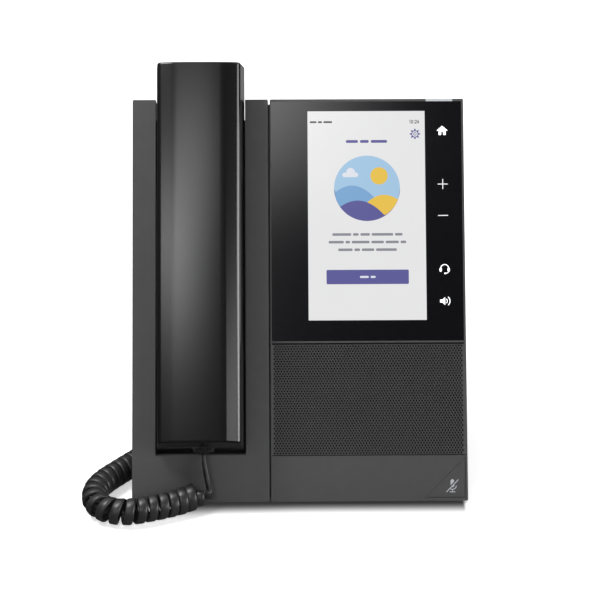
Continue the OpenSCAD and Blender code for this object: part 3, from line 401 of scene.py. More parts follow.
# Each CAD node's finish, and how far its edges are rounded, in mm
CAD_FINISHES = {
    "cradle_housing": (housing_finish, 0.55), "display_housing": (housing_finish, 0.4),
    "rear_cover": (cover_finish, 0.6), "cover_glass": (glass_finish, 0.25),
    "lcd_panel": (glass_finish, 0), "lcd_backlight": (steel_finish, 0),
    "grille_cloth": (cloth_and_shade_finish, 0), "speaker_gasket": (rubber_finish, 0),
    "speaker_basket": (socket_finish, 0.2), "speaker_cone": (chip_finish, 0),
    "speaker_magnet": (magnet_finish, 0.3), "speaker_screws": (screw_finish, 0),
    "bottom_bar": (bar_finish, 0.3), "mute_key": (bar_finish, 0.25),
    "mute_switch": (chip_finish, 0), "mute_board": (board_finish, 0),
    "message_light": (light_finish, 0.3), "light_board": (board_finish, 0),
    "key_light_board": (board_finish, 0), "main_board": (board_finish, 0),
    "board_chips": (chip_finish, 0), "shield_cans": (steel_finish, 0),
    "port_panel": (cover_finish, 0.3),
    "network_jack": (socket_finish, 0.2), "pc_jack": (socket_finish, 0.2),
    "handset_jack": (socket_finish, 0.2), "headset_jack": (socket_finish, 0.2),
    "power_jack": (socket_finish, 0.2), "usb_port": (steel_finish, 0.15),
    "hook_button": (cover_finish, 0.6), "hook_switch": (chip_finish, 0),
    "hook_spring": (steel_finish, 0), "hanger_tab": (housing_finish, 0.3),
    "cradle_pads": (rubber_finish, 0.3), "desk_microphone": (steel_finish, 0),
    "security_insert": (steel_finish, 0.2), "rating_plate": (label_finish, 0.1),
    "front_feet": (rubber_finish, 0.4), "cover_screws": (screw_finish, 0.2),
    "board_screws": (screw_finish, 0), "stand": (cover_finish, 0.6),
    "stand_feet": (rubber_finish, 0.4), "handset_outer_shell": (handset_finish, 1.2),
    "handset_inner_shell": (handset_finish, 0.7), "ear_receiver": (magnet_finish, 0),
    "ear_gasket": (rubber_finish, 0), "mouth_microphone": (steel_finish, 0),
    "mic_boot": (rubber_finish, 0), "handset_weight": (steel_finish, 0),
    "handset_socket": (socket_finish, 0), "handset_screws": (screw_finish, 0),
    "handset_plug": (plug_finish, 0.3), "base_plug": (plug_finish, 0.3),
}
for node, (finish, rounding) in CAD_FINISHES.items():
    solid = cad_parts[node]
    if not solid.material_slots:
        solid.data.materials.append(finish)
    for material_slot in solid.material_slots:
        material_slot.material = finish
    if rounding:
        round_edges(solid, rounding)

# ---------- Curly cord ----------

# The route's points, as millimetres right, behind the face's bottom edge, and up
LEAD_ROUTE = [(-49.8, 6.6, 21.6), (-48.9, 3.4, 17), (-47.6, -0.2, 12), (-46.5, -3.4, 9),
              (-47.4, -4.9, 8.6)]
COIL_ROUTE = [(-50, -4.8, 9.2), (-54, -5.6, 8.5), (-58, -7, 7.7), (-62, -8.8, 7.2),
              (-66, -10.6, 7), (-71.8, -13.2, 7), (-78.7, -15.8, 7), (-84.5, -17.7, 7),
              (-90, -18.4, 7), (-95, -17.6, 7), (-99.3, -15.6, 7), (-102.6, -12.6, 7),
              (-104.8, -9, 7), (-106, -5, 7), (-106.3, -1, 7), (-106, 3, 7), (-104.6, 8, 7),
              (-101.4, 14, 7), (-96.4, 21, 7), (-91.4, 27.6, 7), (-86.6, 34, 7), (-81.6, 40, 7),
              (-76.2, 45, 7), (-70, 49, 7), (-60, 53.4, 7), (-50, 56, 7), (-40, 58.5, 7),
              (-30, 61, 7), (-20, 64, 7), (-10, 68, 7), (-2, 73, 7), (4, 80, 7)]
TAIL_ROUTE = [(5.8, 84.4, 7), (5, 89, 7.6), (1, 92.4, 9.6), (-4, 90, 13.6), (-7.4, 83.4, 18.6),
              (-8, 76, 23)]
WIRE_WIDTH = 4.8
WIRE_THICKNESS = 2.2
SECTION_POINTS = 12
CURL_RADIUS = 5.8
# Millimetres of route over which the curls grow and shrink again
EASE = 5.0
# The curls stand open round one place on the coil and lie close beyond its reach
CLOSE_PITCH = 5.05
OPEN_PITCH = 6.2
OPEN_PLACE = 52
OPEN_REACH = 46
STEPS_IN_TURN = 26
SHORTEST_STEP = 0.12
STRAIGHT_STEP = 0.9
ROUTE_STEP = 0.8
# Least sine of the angle between the route and upright at which up still serves as a guide
STEEP = 0.35


def route_point(p):
    """A point of the cord's route, in metres."""
    return Vector((p[0] * MM, FACE_ORIGIN.y + p[1] * MM, p[2] * MM))


def cord_path():
    """The route's line, the distance along it in mm, and where its coil starts and stops."""
    plug_low, plug_high = node_span("handset_plug")
    plug_mouth = on_face((plug_low.x + plug_high.x) / 2, plug_low.y,
                         (plug_low.z + plug_high.z) / 2)
    jack_low, jack_high = node_span("base_plug")
    plug_end = on_face((jack_low.x + jack_high.x) / 2, (jack_low.y + jack_high.y) / 2,
                       jack_low.z)
    lead = [plug_mouth] + [route_point(p) for p in LEAD_ROUTE]
    coil = [route_point(p) for p in COIL_ROUTE]
    tail = [route_point(p) for p in TAIL_ROUTE] + [plug_end]
    line = smooth_curve(lead + coil + tail, ROUTE_STEP * MM)
    first, last = coil[0], coil[-1]
    start = min(range(len(line)), key=lambda i: (line[i] - first).length)
    stop = min(range(len(line)), key=lambda i: (line[i] - last).length)
    distance = [0.0]
    for p, q in zip(line, line[1:]):
        distance.append(distance[-1] + (q - p).length / MM)
    return line, distance, distance[start], distance[stop]


def curl(line, distance, s0, s1):
    """Winds the wire round the line between s0 and s1; returns points and outward directions."""
    points, outs = [], []
    turn = 0.0
    s = 0.0
    j = 0
    total = distance[-1]
    while s < total:
        while j < len(distance) - 2 and distance[j + 1] < s:
            j += 1
        f = (s - distance[j]) / (distance[j + 1] - distance[j])
        centre = line[j].lerp(line[j + 1], f)
        ahead = (line[min(j + 3, len(line) - 1)] - line[max(j - 2, 0)]).normalized()
        side = ahead.cross(Vector((0, 0, 1)))
        if side.length < STEEP:
            side = ahead.cross(Vector((0, -1, 0)))
        side.normalize()
        up = side.cross(ahead)
        grown = min(max((s - s0) / EASE, 0), 1) * min(max((s1 - s) / EASE, 0), 1)
        radius = CURL_RADIUS * grown * grown * (3 - 2 * grown)
        if s0 < s < s1:
            opened = max(0, 1 - abs(s - s0 - OPEN_PLACE) / OPEN_REACH)
            pitch = CLOSE_PITCH + (OPEN_PITCH - CLOSE_PITCH) * opened
            step = max(SHORTEST_STEP, pitch / STEPS_IN_TURN)
            turn += 2 * pi * step / pitch
        else:
            step = STRAIGHT_STEP
        out = side * cos(turn) + up * sin(turn)
        points.append(centre + out * (radius * MM))
        outs.append(out)
        s += step
    points.append(line[-1])
    outs.append(outs[-1])
    return points, outs


def wire_mesh(points, outs):
    """Sweeps the flat, round-edged section along the points."""
    section = []
    flat = (WIRE_WIDTH - WIRE_THICKNESS) / 2
    for k in range(SECTION_POINTS):
        a = 2 * pi * k / SECTION_POINTS
        section.append((cos(a) * WIRE_THICKNESS / 2 + (flat if cos(a) > 0.01 else -flat),
                        sin(a) * WIRE_THICKNESS / 2))
    verts, faces = [], []
    n = len(section)
    for i, p in enumerate(points):
        ahead = (points[min(i + 1, len(points) - 1)] - points[max(i - 1, 0)]).normalized()
        wide = ahead.cross(outs[i])
        if wide.length < 1e-6:
            wide = ahead.orthogonal()
        wide.normalize()
        thick = wide.cross(ahead)
        verts += [p + wide * (a * MM) + thick * (b * MM) for a, b in section]
    for i in range(len(points) - 1):
        for k in range(n):
            a, b = i * n + k, i * n + (k + 1) % n
            faces.append((a, b, b + n, a + n))
    faces.append(tuple(range(n))[::-1])
    faces.append(tuple((len(points) - 1) * n + k for k in range(n)))
    return verts, faces


line, distance, curl_start, curl_stop = cord_path()
wire_points, wire_outs = curl(line, distance, curl_start, curl_stop)
verts, faces = wire_mesh(wire_points, wire_outs)
curly_cord = new_piece("curly_cord", verts, faces, cord_finish, None, smooth=True)
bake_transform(curly_cord)
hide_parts("cord_lead", "cord_coil", "cord_tail")

# ---------- Handset ----------

# Height at which the front shell begins, and the rise of its middle over its ends
SHELL_SPLIT = 9.5
CROWN = 2.5
# How far the side walls and the two ends lean in from the inner shell to the front
HANDSET_DRAFT = 1.9
LOW_SET_BACK = 5.7
TOP_SET_BACK = 2.2
# Half section of the front, from the middle out: share of the half width, drop of the front
FRONT_PROFILE = [(0, 0), (0.25, 0.05), (0.5, 0.2), (0.648, 0.38), (0.672, 0.5), (0.895, 1.95)]
# The rounded corner between facet and side wall: its angles, drop and spread
CORNER_START = radians(18)
CORNER_SWEEP = radians(68)
CORNER_POINTS = 5
CORNER_DROP = 2.9
CORNER_SPREAD = 0.69
CORNER_OVERRUN = 0.25
SHELL_STATIONS = 60
SHELL_ROUNDING = 0.9
shell_front = node_span("handset_outer_shell")[1].z
inner_low, inner_high = node_span("handset_inner_shell")
HANDSET_U = (inner_low.x + inner_high.x) / 2
HANDSET_HALF = (inner_high.x - inner_low.x) / 2
HANDSET_FRONT = shell_front - CROWN


def handset_point(t, across, w):
    """A point of the outer shell: t along it from 0 to 1, across from -1 to 1, height w."""
    rise = (w - inner_low.z) / (HANDSET_FRONT - inner_low.z)
    v0 = inner_low.y + LOW_SET_BACK * rise
    v1 = inner_high.y - TOP_SET_BACK * rise
    half = HANDSET_HALF - HANDSET_DRAFT * rise
    return HANDSET_U + across * half, v0 + t * (v1 - v0)


def build_handset_shell():
    """The arched front of the handset with its two side facets, lofted along its length."""
    half = HANDSET_HALF - HANDSET_DRAFT
    profile = [(share, -drop) for share, drop in FRONT_PROFILE]
    corner_share, corner_drop = profile[-1]
    corner_reach = (1 - corner_share) * half + CORNER_OVERRUN
    for k in range(1, CORNER_POINTS + 1):
        a = CORNER_START + CORNER_SWEEP * k / CORNER_POINTS
        across = corner_reach * (sin(a) - sin(CORNER_START)) / CORNER_SPREAD
        profile.append((corner_share + across / half,
                        corner_drop - CORNER_DROP * (cos(CORNER_START) - cos(a))))
    ring_shape = [(-share, drop) for share, drop in profile[:0:-1]] + profile
    verts, faces = [], []
    for i in range(SHELL_STATIONS + 1):
        t = i / SHELL_STATIONS
        arch = 1 - (2 * t - 1) ** 2
        u, v = handset_point(t, -1, SHELL_SPLIT)
        ring = [(u, v, SHELL_SPLIT)]
        for share, drop in ring_shape:
            w = HANDSET_FRONT + CROWN * arch + drop
            u, v = handset_point(t, 1, w)
            ring.append((HANDSET_U + share * half, v, w))
        u, v = handset_point(t, 1, SHELL_SPLIT)
        ring.append((u, v, SHELL_SPLIT))
        verts += [on_face(*p) for p in ring]
    n = len(ring_shape) + 2
    for i in range(SHELL_STATIONS):
        for k in range(n):
            a, b = i * n + k, i * n + (k + 1) % n
            faces.append((a, b, b + n, a + n))
    faces.append(tuple(range(n))[::-1])
    faces.append(tuple(SHELL_STATIONS * n + k for k in range(n)))
    shell = new_piece("handset_front_shell", verts, faces, handset_finish, None, smooth=True)
    fix_normals(shell)
    round_edges(shell, SHELL_ROUNDING, segments=5, angle=40)
    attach(shell, "handset")
    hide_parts("handset_outer_shell")


def fix_normals(piece):
    """Turns all faces outwards."""
    bm = bmesh.new()
    bm.from_mesh(piece.data)
    bmesh.ops.recalc_face_normals(bm, faces=bm.faces)
    bm.to_mesh(piece.data)
    bm.free()


build_handset_shell()

# ---------- Perforated grille ----------

HOLE_PITCH = 1.5
ROW_PITCH = 1.3
HOLE_RADIUS = 0.54
HOLE_SIDES = 12
GRILLE_MARGIN = 0.05
HOLE_DEPTH = 1.2
BACKING_OVERLAP = 0.02
# Depths of the painted shade strips in the gaps above and below the grille, and the upper one's width
GROOVE_LOW = -0.74
GROOVE_HIGH = -0.64
GROOVE_WIDTH = 1


def build_grille():
    """The grille plate: rows of round holes, each row shifted by half a pitch."""
    low, high = node_span("speaker_grille")
    top, deep = high.z, high.z - HOLE_DEPTH
    rows = int((high.y - low.y - 2 * GRILLE_MARGIN) / ROW_PITCH)
    v_start = (low.y + high.y - rows * ROW_PITCH) / 2
    count = int((high.x - low.x - 2 * GRILLE_MARGIN) / HOLE_PITCH - 0.5)
    u_start = (low.x + high.x - (count + 0.5) * HOLE_PITCH) / 2
    verts, faces = [], []

    def quad(u0, v0, u1, v1):
        """A plain stretch of the plate."""
        base = len(verts)
        verts.extend(on_face(u, v, top) for u, v in ((u0, v0), (u1, v0), (u1, v1), (u0, v1)))
        faces.append((base, base + 1, base + 2, base + 3))

    def cell(u, v):
        """The plate round one hole, out to its share of the plate, and the hole's wall."""
        base = len(verts)
        for k in range(HOLE_SIDES):
            a = 2 * pi * k / HOLE_SIDES
            reach = min(HOLE_PITCH / 2 / max(abs(cos(a)), 1e-6),
                        ROW_PITCH / 2 / max(abs(sin(a)), 1e-6))
            rim = (u + HOLE_RADIUS * cos(a), v + HOLE_RADIUS * sin(a))
            verts.append(on_face(u + reach * cos(a), v + reach * sin(a), top))
            verts.append(on_face(*rim, top))
            verts.append(on_face(*rim, deep))
        for k in range(HOLE_SIDES):
            a, b = base + 3 * k, base + 3 * ((k + 1) % HOLE_SIDES)
            faces.append((a, b, b + 1, a + 1))
            faces.append((a + 1, b + 1, b + 2, a + 2))

    quad(low.x, low.y, high.x, v_start)
    quad(low.x, v_start + rows * ROW_PITCH, high.x, high.y)
    for r in range(rows):
        v0 = v_start + r * ROW_PITCH
        u0 = u_start + (HOLE_PITCH / 2 if r % 2 else 0)
        quad(low.x, v0, u0, v0 + ROW_PITCH)
        quad(u0 + count * HOLE_PITCH, v0, high.x, v0 + ROW_PITCH)
        for c in range(count):
            cell(u0 + (c + 0.5) * HOLE_PITCH, v0 + ROW_PITCH / 2)
    corners = ((low.x, low.y), (high.x, low.y), (high.x, high.y), (low.x, high.y))
    base = len(verts)
    verts.extend(on_face(u, v, w) for w in (top, low.z) for u, v in corners)
    faces.extend((base + k, base + 4 + k, base + 4 + (k + 1) % 4, base + (k + 1) % 4)
                 for k in range(4))
    plate = new_piece("perforated_grille", verts, faces, grille_finish, "base")
    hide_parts("speaker_grille")
    prism("grille_backing", corners, low.z, deep + BACKING_OVERLAP, cloth_and_shade_finish, "base")


def paint_groove_shade():
    """Black strips of painted shade in the gaps above and below the grille."""
    low, high = node_span("speaker_grille")
    bar_top = node_span("bottom_bar")[1].y
    for name, v0, v1 in (("grille_gap_shade_high", high.y, high.y + GROOVE_WIDTH),
                         ("grille_gap_shade_low", bar_top, low.y)):
        prism(name, ((low.x, v0), (high.x, v0), (high.x, v1), (low.x, v1)), GROOVE_LOW,
              GROOVE_HIGH, cloth_and_shade_finish, "base")


build_grille()
paint_groove_shade()

# ---------- Flat marks and the screen picture ----------


def disc_outline(u, v, r, count=40, a0=0.0, a1=2 * pi):
    """Points on a circle, or on the part of it between two angles."""
    return [(u + r * cos(a0 + (a1 - a0) * k / count), v + r * sin(a0 + (a1 - a0) * k / count))
            for k in range(count + (0 if abs(a1 - a0 - 2 * pi) < 1e-6 else 1))]


def round_rect(u0, v0, u1, v1, r, count=5):
    """A rectangle with rounded corners."""
    outline = []
    for cu, cv, a0 in ((u1 - r, v0 + r, -pi / 2), (u1 - r, v1 - r, 0),
                       (u0 + r, v1 - r, pi / 2), (u0 + r, v0 + r, pi)):
        outline += [(cu + r * cos(a0 + pi / 2 * k / count), cv + r * sin(a0 + pi / 2 * k / count))
                    for k in range(count + 1)]
    return outline


def stroke_outline(points, width):
    """The outline of a line of that width along the points, with round ends."""
    pts = [Vector(p) for p in points]
    left, right = [], []
    for i, p in enumerate(pts):
        before = (p - pts[i - 1]).normalized() if i else (pts[1] - p).normalized()
        after = (pts[i + 1] - p).normalized() if i < len(pts) - 1 else before
        mean = (before + after).normalized()
        normal = Vector((-mean.y, mean.x))
        reach = width / 2 / max(0.4, mean.dot(after))
        left.append(p + normal * reach)
        right.append(p - normal * reach)

    def cap(centre, heading):
        a = atan2(heading.y, heading.x)
        return [centre + Vector((cos(a + b), sin(a + b))) * width / 2
                for b in (-pi / 3, -pi / 6, 0, pi / 6, pi / 3)]

    end = cap(pts[-1], (pts[-1] - pts[-2]).normalized())
    start = cap(pts[0], (pts[0] - pts[1]).normalized())
    return [tuple(q) for q in right + end + left[::-1] + start]


def arc(u, v, r, a0, a1, count=14):
    """Points on an arc, angles in degrees."""
    return [(u + r * cos(radians(a0 + (a1 - a0) * k / count)),
             v + r * sin(radians(a0 + (a1 - a0) * k / count))) for k in range(count + 1)]


MARK_LOW = -0.01
MARK_HIGH = 0.03
MARK_LINE = 0.42
# The column of touch marks, each mark's height on the face, and the signs' half length
MARK_U = 76.2
HOME_V = 194.9
PLUS_V = 166.4
MINUS_V = 149.7
HEADSET_V = 121.3
LOUDSPEAKER_V = 104.4
LOW_MARK_SHIFT = 0.5
SIGN_REACH = 2.5
MUTE_MARK = (79.4, 7.7)


def flat_mark(name, outlines, material, body="base"):
    """A flat mark of several outlines, just proud of the surface."""
    parts = [prism(f"{name}_{i}", outline, MARK_LOW, MARK_HIGH, material, None)
             for i, outline in enumerate(outlines)]
    join(name, parts, body)


def home_mark(u, v):
    """A house: its roof line, and its walls with a door."""
    roof = stroke_outline([(u - 2.6, v + 0.1), (u, v + 2.4), (u + 2.6, v + 0.1)], MARK_LINE)
    walls = [(u - 1.9, v + 0.2), (u - 1.9, v - 2.3), (u - 0.5, v - 2.3), (u - 0.5, v - 0.5),
             (u + 0.5, v - 0.5), (u + 0.5, v - 2.3), (u + 1.9, v - 2.3), (u + 1.9, v + 0.2),
             (u, v + 1.7)]
    flat_mark("home_mark", [roof, walls], mark_finish)


def level_marks(u):
    """Plus and minus."""
    level = stroke_outline([(u - SIGN_REACH, PLUS_V), (u + SIGN_REACH, PLUS_V)], MARK_LINE)
    upright = stroke_outline([(u, PLUS_V - SIGN_REACH), (u, PLUS_V + SIGN_REACH)], MARK_LINE)
    flat_mark("plus_mark", [level, upright], dim_mark_finish)
    dash = stroke_outline([(u - SIGN_REACH, MINUS_V), (u + SIGN_REACH, MINUS_V)], MARK_LINE)
    flat_mark("minus_mark", [dash], dim_mark_finish)


def headset_mark(u, v):
    """A headband, two ear pads and a boom with its microphone."""
    band = stroke_outline(arc(u, v + 0.3, 2.1, 190, -10), MARK_LINE)
    pads = [round_rect(u - 2.7, v - 1.4, u - 1.5, v + 0.7, 0.5),
            round_rect(u + 1.5, v - 1.4, u + 2.7, v + 0.7, 0.5)]
    boom = stroke_outline([(u + 2.1, v - 1.2), (u + 1.7, v - 2.0), (u + 0.5, v - 2.3)],
                          MARK_LINE * 0.8)
    flat_mark("headset_mark", [band, *pads, boom, disc_outline(u + 0.2, v - 2.3, 0.45, 16)],
              mark_finish)


def loudspeaker_mark(u, v):
    """A horn and two waves."""
    horn = [(u - 2.6, v - 0.8), (u - 1.4, v - 0.8), (u + 0.1, v - 2.1), (u + 0.1, v + 2.1),
            (u - 1.4, v + 0.8), (u - 2.6, v + 0.8)]
    waves = [stroke_outline(arc(u - 0.3, v, 1.5, -42, 42), MARK_LINE),
             stroke_outline(arc(u - 0.3, v, 2.9, -45, 45), MARK_LINE)]
    flat_mark("loudspeaker_mark", [horn, *waves], mark_finish)


def mute_mark(u, v):
    """A struck-out microphone on the mute key."""
    flat_mark("mute_mark", [
        [(u - 0.95, v + 0.2), (u - 0.95, v + 2.5), (u - 0.6, v + 3.2), (u, v + 3.5),
         (u + 0.6, v + 3.2), (u + 0.95, v + 2.4)],
        [(u + 0.95, v + 1.2), (u - 0.7, v - 0.5), (u, v - 0.8), (u + 0.6, v - 0.5),
         (u + 0.95, v + 0.1)],
        stroke_outline(arc(u, v + 0.2, 2.0, 232, 352), MARK_LINE),
        stroke_outline([(u, v - 1.8), (u, v - 3)], MARK_LINE),
        stroke_outline([(u - 1.3, v - 3.1), (u + 1.3, v - 3.1)], MARK_LINE),
        stroke_outline([(u - 3.1, v - 3.1), (u + 3, v + 3.1)], MARK_LINE)],
        mute_mark_finish, body="mute_button")


home_mark(MARK_U, HOME_V)
level_marks(MARK_U)
headset_mark(MARK_U + LOW_MARK_SHIFT, HEADSET_V)
loudspeaker_mark(MARK_U + LOW_MARK_SHIFT, LOUDSPEAKER_V)
mute_mark(*MUTE_MARK)

screen_low, screen_high = node_span("lcd_panel")
SCREEN_EDGE = 1.9
SCREEN = (screen_low.x + SCREEN_EDGE, screen_low.y + SCREEN_EDGE,
          screen_high.x - SCREEN_EDGE, screen_high.y - SCREEN_EDGE)
PAPER = screen_material("screen_white", (0.77, 0.77, 0.773))
VIOLET = screen_material("screen_violet", (0.115, 0.11, 0.31))
SKY = screen_material("screen_sky", (0.36, 0.55, 0.74))
DEEP_SKY = screen_material("screen_deep_sky", (0.20, 0.38, 0.62))
SUN = screen_material("screen_yellow", (0.78, 0.52, 0.08))
INK = screen_material("screen_ink", (0.06, 0.06, 0.075))
GREY = screen_material("screen_grey", (0.26, 0.26, 0.30))
PALE = screen_material("screen_pale", (0.72, 0.74, 0.80))
# Each layer of the picture lies this much over the one below, and the first over the panel
LAYER = 0.012
LAYER_BASE = 0.01
WORD_CORNER = 0.42

# Strokes of plain digits in a cell 1 wide and 2 high
DIGIT_LINES = {
    "1": [[(0.3, 1.6), (0.6, 2), (0.6, 0)]],
    "0": [[(0.1, 0.4), (0.1, 1.6), (0.4, 2), (0.7, 2), (1, 1.6), (1, 0.4), (0.7, 0), (0.4, 0),
           (0.1, 0.4)]],
    "2": [[(0.1, 1.6), (0.4, 2), (0.8, 2), (1, 1.6), (1, 1.2), (0.1, 0), (1, 0)]],
    "4": [[(0.8, 0), (0.8, 2), (0.05, 0.6), (1.05, 0.6)]],
    ":": [[(0.5, 0.4), (0.5, 0.5)], [(0.5, 1.4), (0.5, 1.5)]],
}


def digits(text, u, v, height, width):
    """The outlines of plain digits, starting at (u, v)."""
    outlines = []
    for character in text:
        for points in DIGIT_LINES[character]:
            outlines.append(stroke_outline(
                [(u + a * height / 2, v + b * height / 2) for a, b in points], width))
        u += height * (0.45 if character == ":" else 0.68)
    return outlines


picture_parts = []


def show(outlines, material, layer):
    """Adds outlines to the picture, in one colour and on one layer."""
    for outline in outlines:
        picture_parts.append(prism(f"shown_{len(picture_parts)}", outline, 0.0,
                                   LAYER * layer + LAYER_BASE, material, None))


def words(u, v, widths, height, material, layer=2, gap=0.9):
    """A line of bars in place of words."""
    for width in widths:
        show([round_rect(u, v - height / 2, u + width, v + height / 2, height * WORD_CORNER)],
             material, layer)
        u += width + gap


def top_line(u0, u1, v1):
    """Words on the left and the clock on the right."""
    words(u0 + 1.2, v1 - 5.8, (3.6, 2.2, 4.6), 1.0, INK, gap=0.7)
    show(digits("10:24", u1 - 8.2, v1 - 6.6, 1.7, 0.3), INK, 2)


def cog(u, v):
    """A cog of eight teeth with a ring inside."""
    teeth = [stroke_outline([(u + 1.7 * cos(a), v + 1.7 * sin(a)),
                             (u + 2.45 * cos(a), v + 2.45 * sin(a))], 0.75)
             for a in (2 * pi * k / 8 for k in range(8))]
    show(teeth, VIOLET, 2)
    show([disc_outline(u, v, 1.95)], VIOLET, 2)
    show([disc_outline(u, v, 1.45)], PAPER, 3)
    show([stroke_outline(arc(u, v, 0.7, 0, 350, 20), 0.35)], VIOLET, 4)


def landscape(disc_u, disc_v, disc_r):
    """A round picture of hills, a low sun and a cloud."""

    def hill(centre, height, spread, material, layer):
        """A hill inside the round picture, cut by the picture's own edge."""
        top = []
        for k in range(41):
            u = disc_u - disc_r + 2 * disc_r * k / 40
            half_chord = sqrt(max(disc_r ** 2 - (u - disc_u) ** 2, 0))
            v = disc_v + height - spread * ((u - disc_u - centre) / disc_r) ** 2
            top.append((u, min(max(v, disc_v - half_chord + 0.01), disc_v + half_chord)))
        base = disc_outline(disc_u, disc_v, disc_r, 40, 2 * pi, pi)
        show([top + base[1:-1]], material, layer)

    show([disc_outline(disc_u, disc_v, disc_r, 64)], SKY, 2)
    show([disc_outline(disc_u + 6.4, disc_v + 6.6, 4.6, 40)], SUN, 3)
    hill(-8, 1.5, 14, DEEP_SKY, 4)
    hill(9, -3.5, 15, SUN, 5)
    hill(-5, -6.5, 12, VIOLET, 6)
    show([round_rect(disc_u - 13, disc_v + 6, disc_u - 4.6, disc_v + 8.4, 1.15)], PALE, 7)
    show([disc_outline(disc_u - 8.6, disc_v + 8.6, 2.3, 28)], PALE, 7)


def text_lines(middle, v):
    """Three centred lines of bars."""
    for drop, widths in ((0, (10, 3, 5, 11.4, 4)), (4.05, (8, 2.4, 9.4, 6.6, 7, 3)),
                         (8.1, (7.6, 3, 6.6, 11))):
        row = sum(widths) + 0.9 * (len(widths) - 1)
        words(middle - row / 2, v - drop, widths, 1.35, GREY)


def screen_picture():
    """A plain start page: clock, cog, title, round picture, lines of text and a button."""
    u0, v0, u1, v1 = SCREEN
    middle = u0 + 31.2
    show([[(u0, v0), (u1, v0), (u1, v1), (u0, v1)]], PAPER, 1)
    top_line(u0, u1, v1)
    cog(u1 - 5.2, v1 - 12.3)
    words(u0 + 20.2, v1 - 16.2, (6.4, 4.6, 8.6), 1.5, VIOLET, gap=1.1)
    landscape(middle, v1 - 41.2, 17.4)
    text_lines(middle, v1 - 65.7)
    show([round_rect(u0 + 9.5, v0 + 19, u1 - 9.2, v0 + 26.6, 0.6)], VIOLET, 2)
    words(middle - 4.1, v0 + 22.8, (4.6, 2.6), 1.1, PALE, 3, 1.0)
    join("screen_picture", picture_parts, "base")


screen_picture()

# ---------- Floor and light ----------


def fold(tree, sockets, operation):
    """Adds up or multiplies several sockets."""
    total = sockets[0]
    for socket in sockets[1:]:
        both = add(tree, "ShaderNodeMath", operation=operation)
        tree.links.new(total, both.inputs[0])
        tree.links.new(socket, both.inputs[1])
        total = both.outputs[0]
    return total


FLOOR_GLOW = 0.55
# Painted contact shadow on the floor: its reach in front, margin at the sides, limit behind and depth
CONTACT_REACH = 15 * MM
CONTACT_SIDE = 3 * MM
CONTACT_BACK = 4 * CONTACT_REACH
CONTACT_SHADE = 0.95
FLOOR_HALF = 3


def paint_floor_shadow(material):
    """Paints a contact shadow into the floor's colour and glow just in front of the telephone's lower
    edge.
    """
    tree = material.node_tree
    shader = tree.nodes["Principled BSDF"]
    place = add(tree, "ShaderNodeTexCoord")
    split = add(tree, "ShaderNodeSeparateXYZ")
    across = add(tree, "ShaderNodeMath", operation="ABSOLUTE")
    side = add(tree, "ShaderNodeMapRange", interpolation_type="SMOOTHSTEP")
    side.inputs["From Min"].default_value = cad_bounds[1][0]
    side.inputs["From Max"].default_value = cad_bounds[1][0] - CONTACT_SIDE
    ahead = add(tree, "ShaderNodeMapRange", interpolation_type="SMOOTHSTEP")
    ahead.inputs["From Min"].default_value = FACE_ORIGIN.y - CONTACT_REACH
    ahead.inputs["From Max"].default_value = FACE_ORIGIN.y
    ahead.inputs["To Max"].default_value = CONTACT_SHADE
    behind = add(tree, "ShaderNodeMapRange", interpolation_type="SMOOTHSTEP")
    behind.inputs["From Min"].default_value = FACE_ORIGIN.y + CONTACT_BACK
    behind.inputs["From Max"].default_value = FACE_ORIGIN.y + CONTACT_REACH
    shade = fold(tree, [mask.outputs["Result"] for mask in (side, ahead, behind)], "MULTIPLY")
    tone = add(tree, "ShaderNodeMath", operation="SUBTRACT")
    tone.inputs[0].default_value = 1.0
    link = tree.links.new
    link(place.outputs["Object"], split.inputs["Vector"])
    link(split.outputs["X"], across.inputs[0])
    link(across.outputs[0], side.inputs["Value"])
    link(split.outputs["Y"], ahead.inputs["Value"])
    link(split.outputs["Y"], behind.inputs["Value"])
    link(shade, tone.inputs[1])
    for socket in ("Base Color", "Emission Color"):
        source = shader.inputs[socket].links[0].from_socket
        scaled = add(tree, "ShaderNodeVectorMath", operation="SCALE")
        link(source, scaled.inputs[0])
        link(tone.outputs[0], scaled.inputs["Scale"])
        link(scaled.outputs["Vector"], shader.inputs[socket])


floor_finish = finish_material("pale_floor", (0.8, 0.8, 0.8), 0.8, grain=0.01, bump=0.0,
                               drift=0.01, wear=0.0, specular=0.1, emission=(1, 1, 1),
                               strength=FLOOR_GLOW)
paint_floor_shadow(floor_finish)
floor_corners = [(FLOOR_HALF * x, FLOOR_HALF * y, 0) for x, y in ((-1, -1), (1, -1), (1, 1), (-1, 1))]
floor = new_piece("floor", floor_corners, [(0, 1, 2, 3)], floor_finish, None)
floor.visible_glossy = False


def soft_light(name, at, aim, width, height, power):
    """A rectangular lamp, in metres and watts."""
    data = bpy.data.lights.new(name, "AREA")
    data.shape = "RECTANGLE"
    data.size = width
    data.size_y = height
    data.energy = power
    lamp = bpy.data.objects.new(name, data)
    lamp.location = at
    lamp.rotation_euler = (Vector(aim) - Vector(at)).to_track_quat("-Z", "Y").to_euler()
    bpy.context.scene.collection.objects.link(lamp)


def direction(azimuth, elevation):
    """Unit vector towards a place in the studio: azimuth 0 is in front, 90 on the right."""
    a, e = radians(azimuth), radians(elevation)
    return Vector((sin(a) * cos(e), -cos(a) * cos(e), sin(e)))


# Feathered softboxes of the studio: azimuth, elevation, roll, half width, half height and
# feather in degrees, and strength
SOFTBOXES = [
    (-29, 33.4, -11.5, 20, 1.8, 3.5, 7.5),
    (-8, 40.5, -25, 6, 2.5, 4, 5.0),
    (36, 22, 0, 8, 4, 5, 3.4),
    (72, 15, 0, 16, 10, 5, 10.0),
    (166, -25, 0, 9, 12, 3, 0.35),
    (180, 50, 0, 60, 20, 15, 0.6),
]
WORLD_LEVEL = 0.02


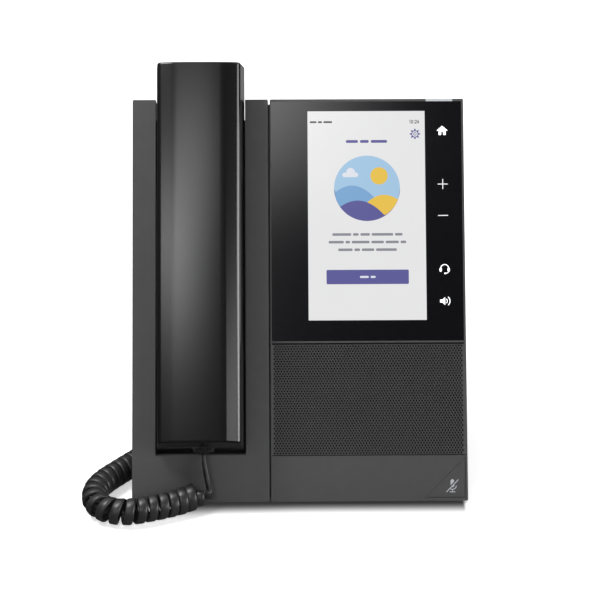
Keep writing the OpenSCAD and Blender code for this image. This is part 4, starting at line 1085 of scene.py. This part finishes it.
def softbox_mask(tree, seen, box):
    """Brightness of one softbox, from the direction that is seen."""
    azimuth, elevation, roll, half_width, half_height, feather, strength = box
    centre = direction(azimuth, elevation)
    right = direction(azimuth + 90, 0)
    up = right.cross(centre)
    turn = radians(roll)
    axes = (right * cos(turn) + up * sin(turn), up * cos(turn) - right * sin(turn))
    masks = []
    for axis, half in zip(axes, (half_width, half_height)):
        along = add(tree, "ShaderNodeVectorMath", operation="DOT_PRODUCT")
        along.inputs[1].default_value = axis
        size = add(tree, "ShaderNodeMath", operation="ABSOLUTE")
        edge = add(tree, "ShaderNodeMapRange", interpolation_type="SMOOTHERSTEP")
        edge.inputs["From Min"].default_value = sin(radians(min(89, half + feather)))
        edge.inputs["From Max"].default_value = sin(radians(max(0, half - feather / 2)))
        tree.links.new(seen, along.inputs[0])
        tree.links.new(along.outputs["Value"], size.inputs[0])
        tree.links.new(size.outputs[0], edge.inputs["Value"])
        masks.append(edge.outputs["Result"])
    facing = add(tree, "ShaderNodeVectorMath", operation="DOT_PRODUCT")
    facing.inputs[1].default_value = centre
    front = add(tree, "ShaderNodeMapRange")
    front.inputs["From Min"].default_value = 0.0
    front.inputs["From Max"].default_value = 0.1
    front.inputs["To Max"].default_value = strength
    tree.links.new(seen, facing.inputs[0])
    tree.links.new(facing.outputs["Value"], front.inputs["Value"])
    return fold(tree, [*masks, front.outputs["Result"]], "MULTIPLY")


def light_world():
    """A dark studio with the softboxes in it."""
    world = bpy.data.worlds.new("studio")
    bpy.context.scene.world = world
    world.use_nodes = True
    tree = world.node_tree
    seen = add(tree, "ShaderNodeTexCoord").outputs["Generated"]
    total = fold(tree, [softbox_mask(tree, seen, box) for box in SOFTBOXES], "ADD")
    level = add(tree, "ShaderNodeMath", operation="ADD")
    level.inputs[1].default_value = WORLD_LEVEL
    tree.links.new(total, level.inputs[0])
    tree.links.new(level.outputs[0], tree.nodes["Background"].inputs["Color"])


light_world()
soft_light("overhead", (-0.15, 0.3, 1.6), (0, 0, 0), 1.2, 0.8, 8)
soft_light("key", (-0.40, -0.05, 0.70), (-0.09, 0.03, 0.19), 0.25, 0.25, 4.4)
bpy.context.scene.view_settings.view_transform = "Standard"
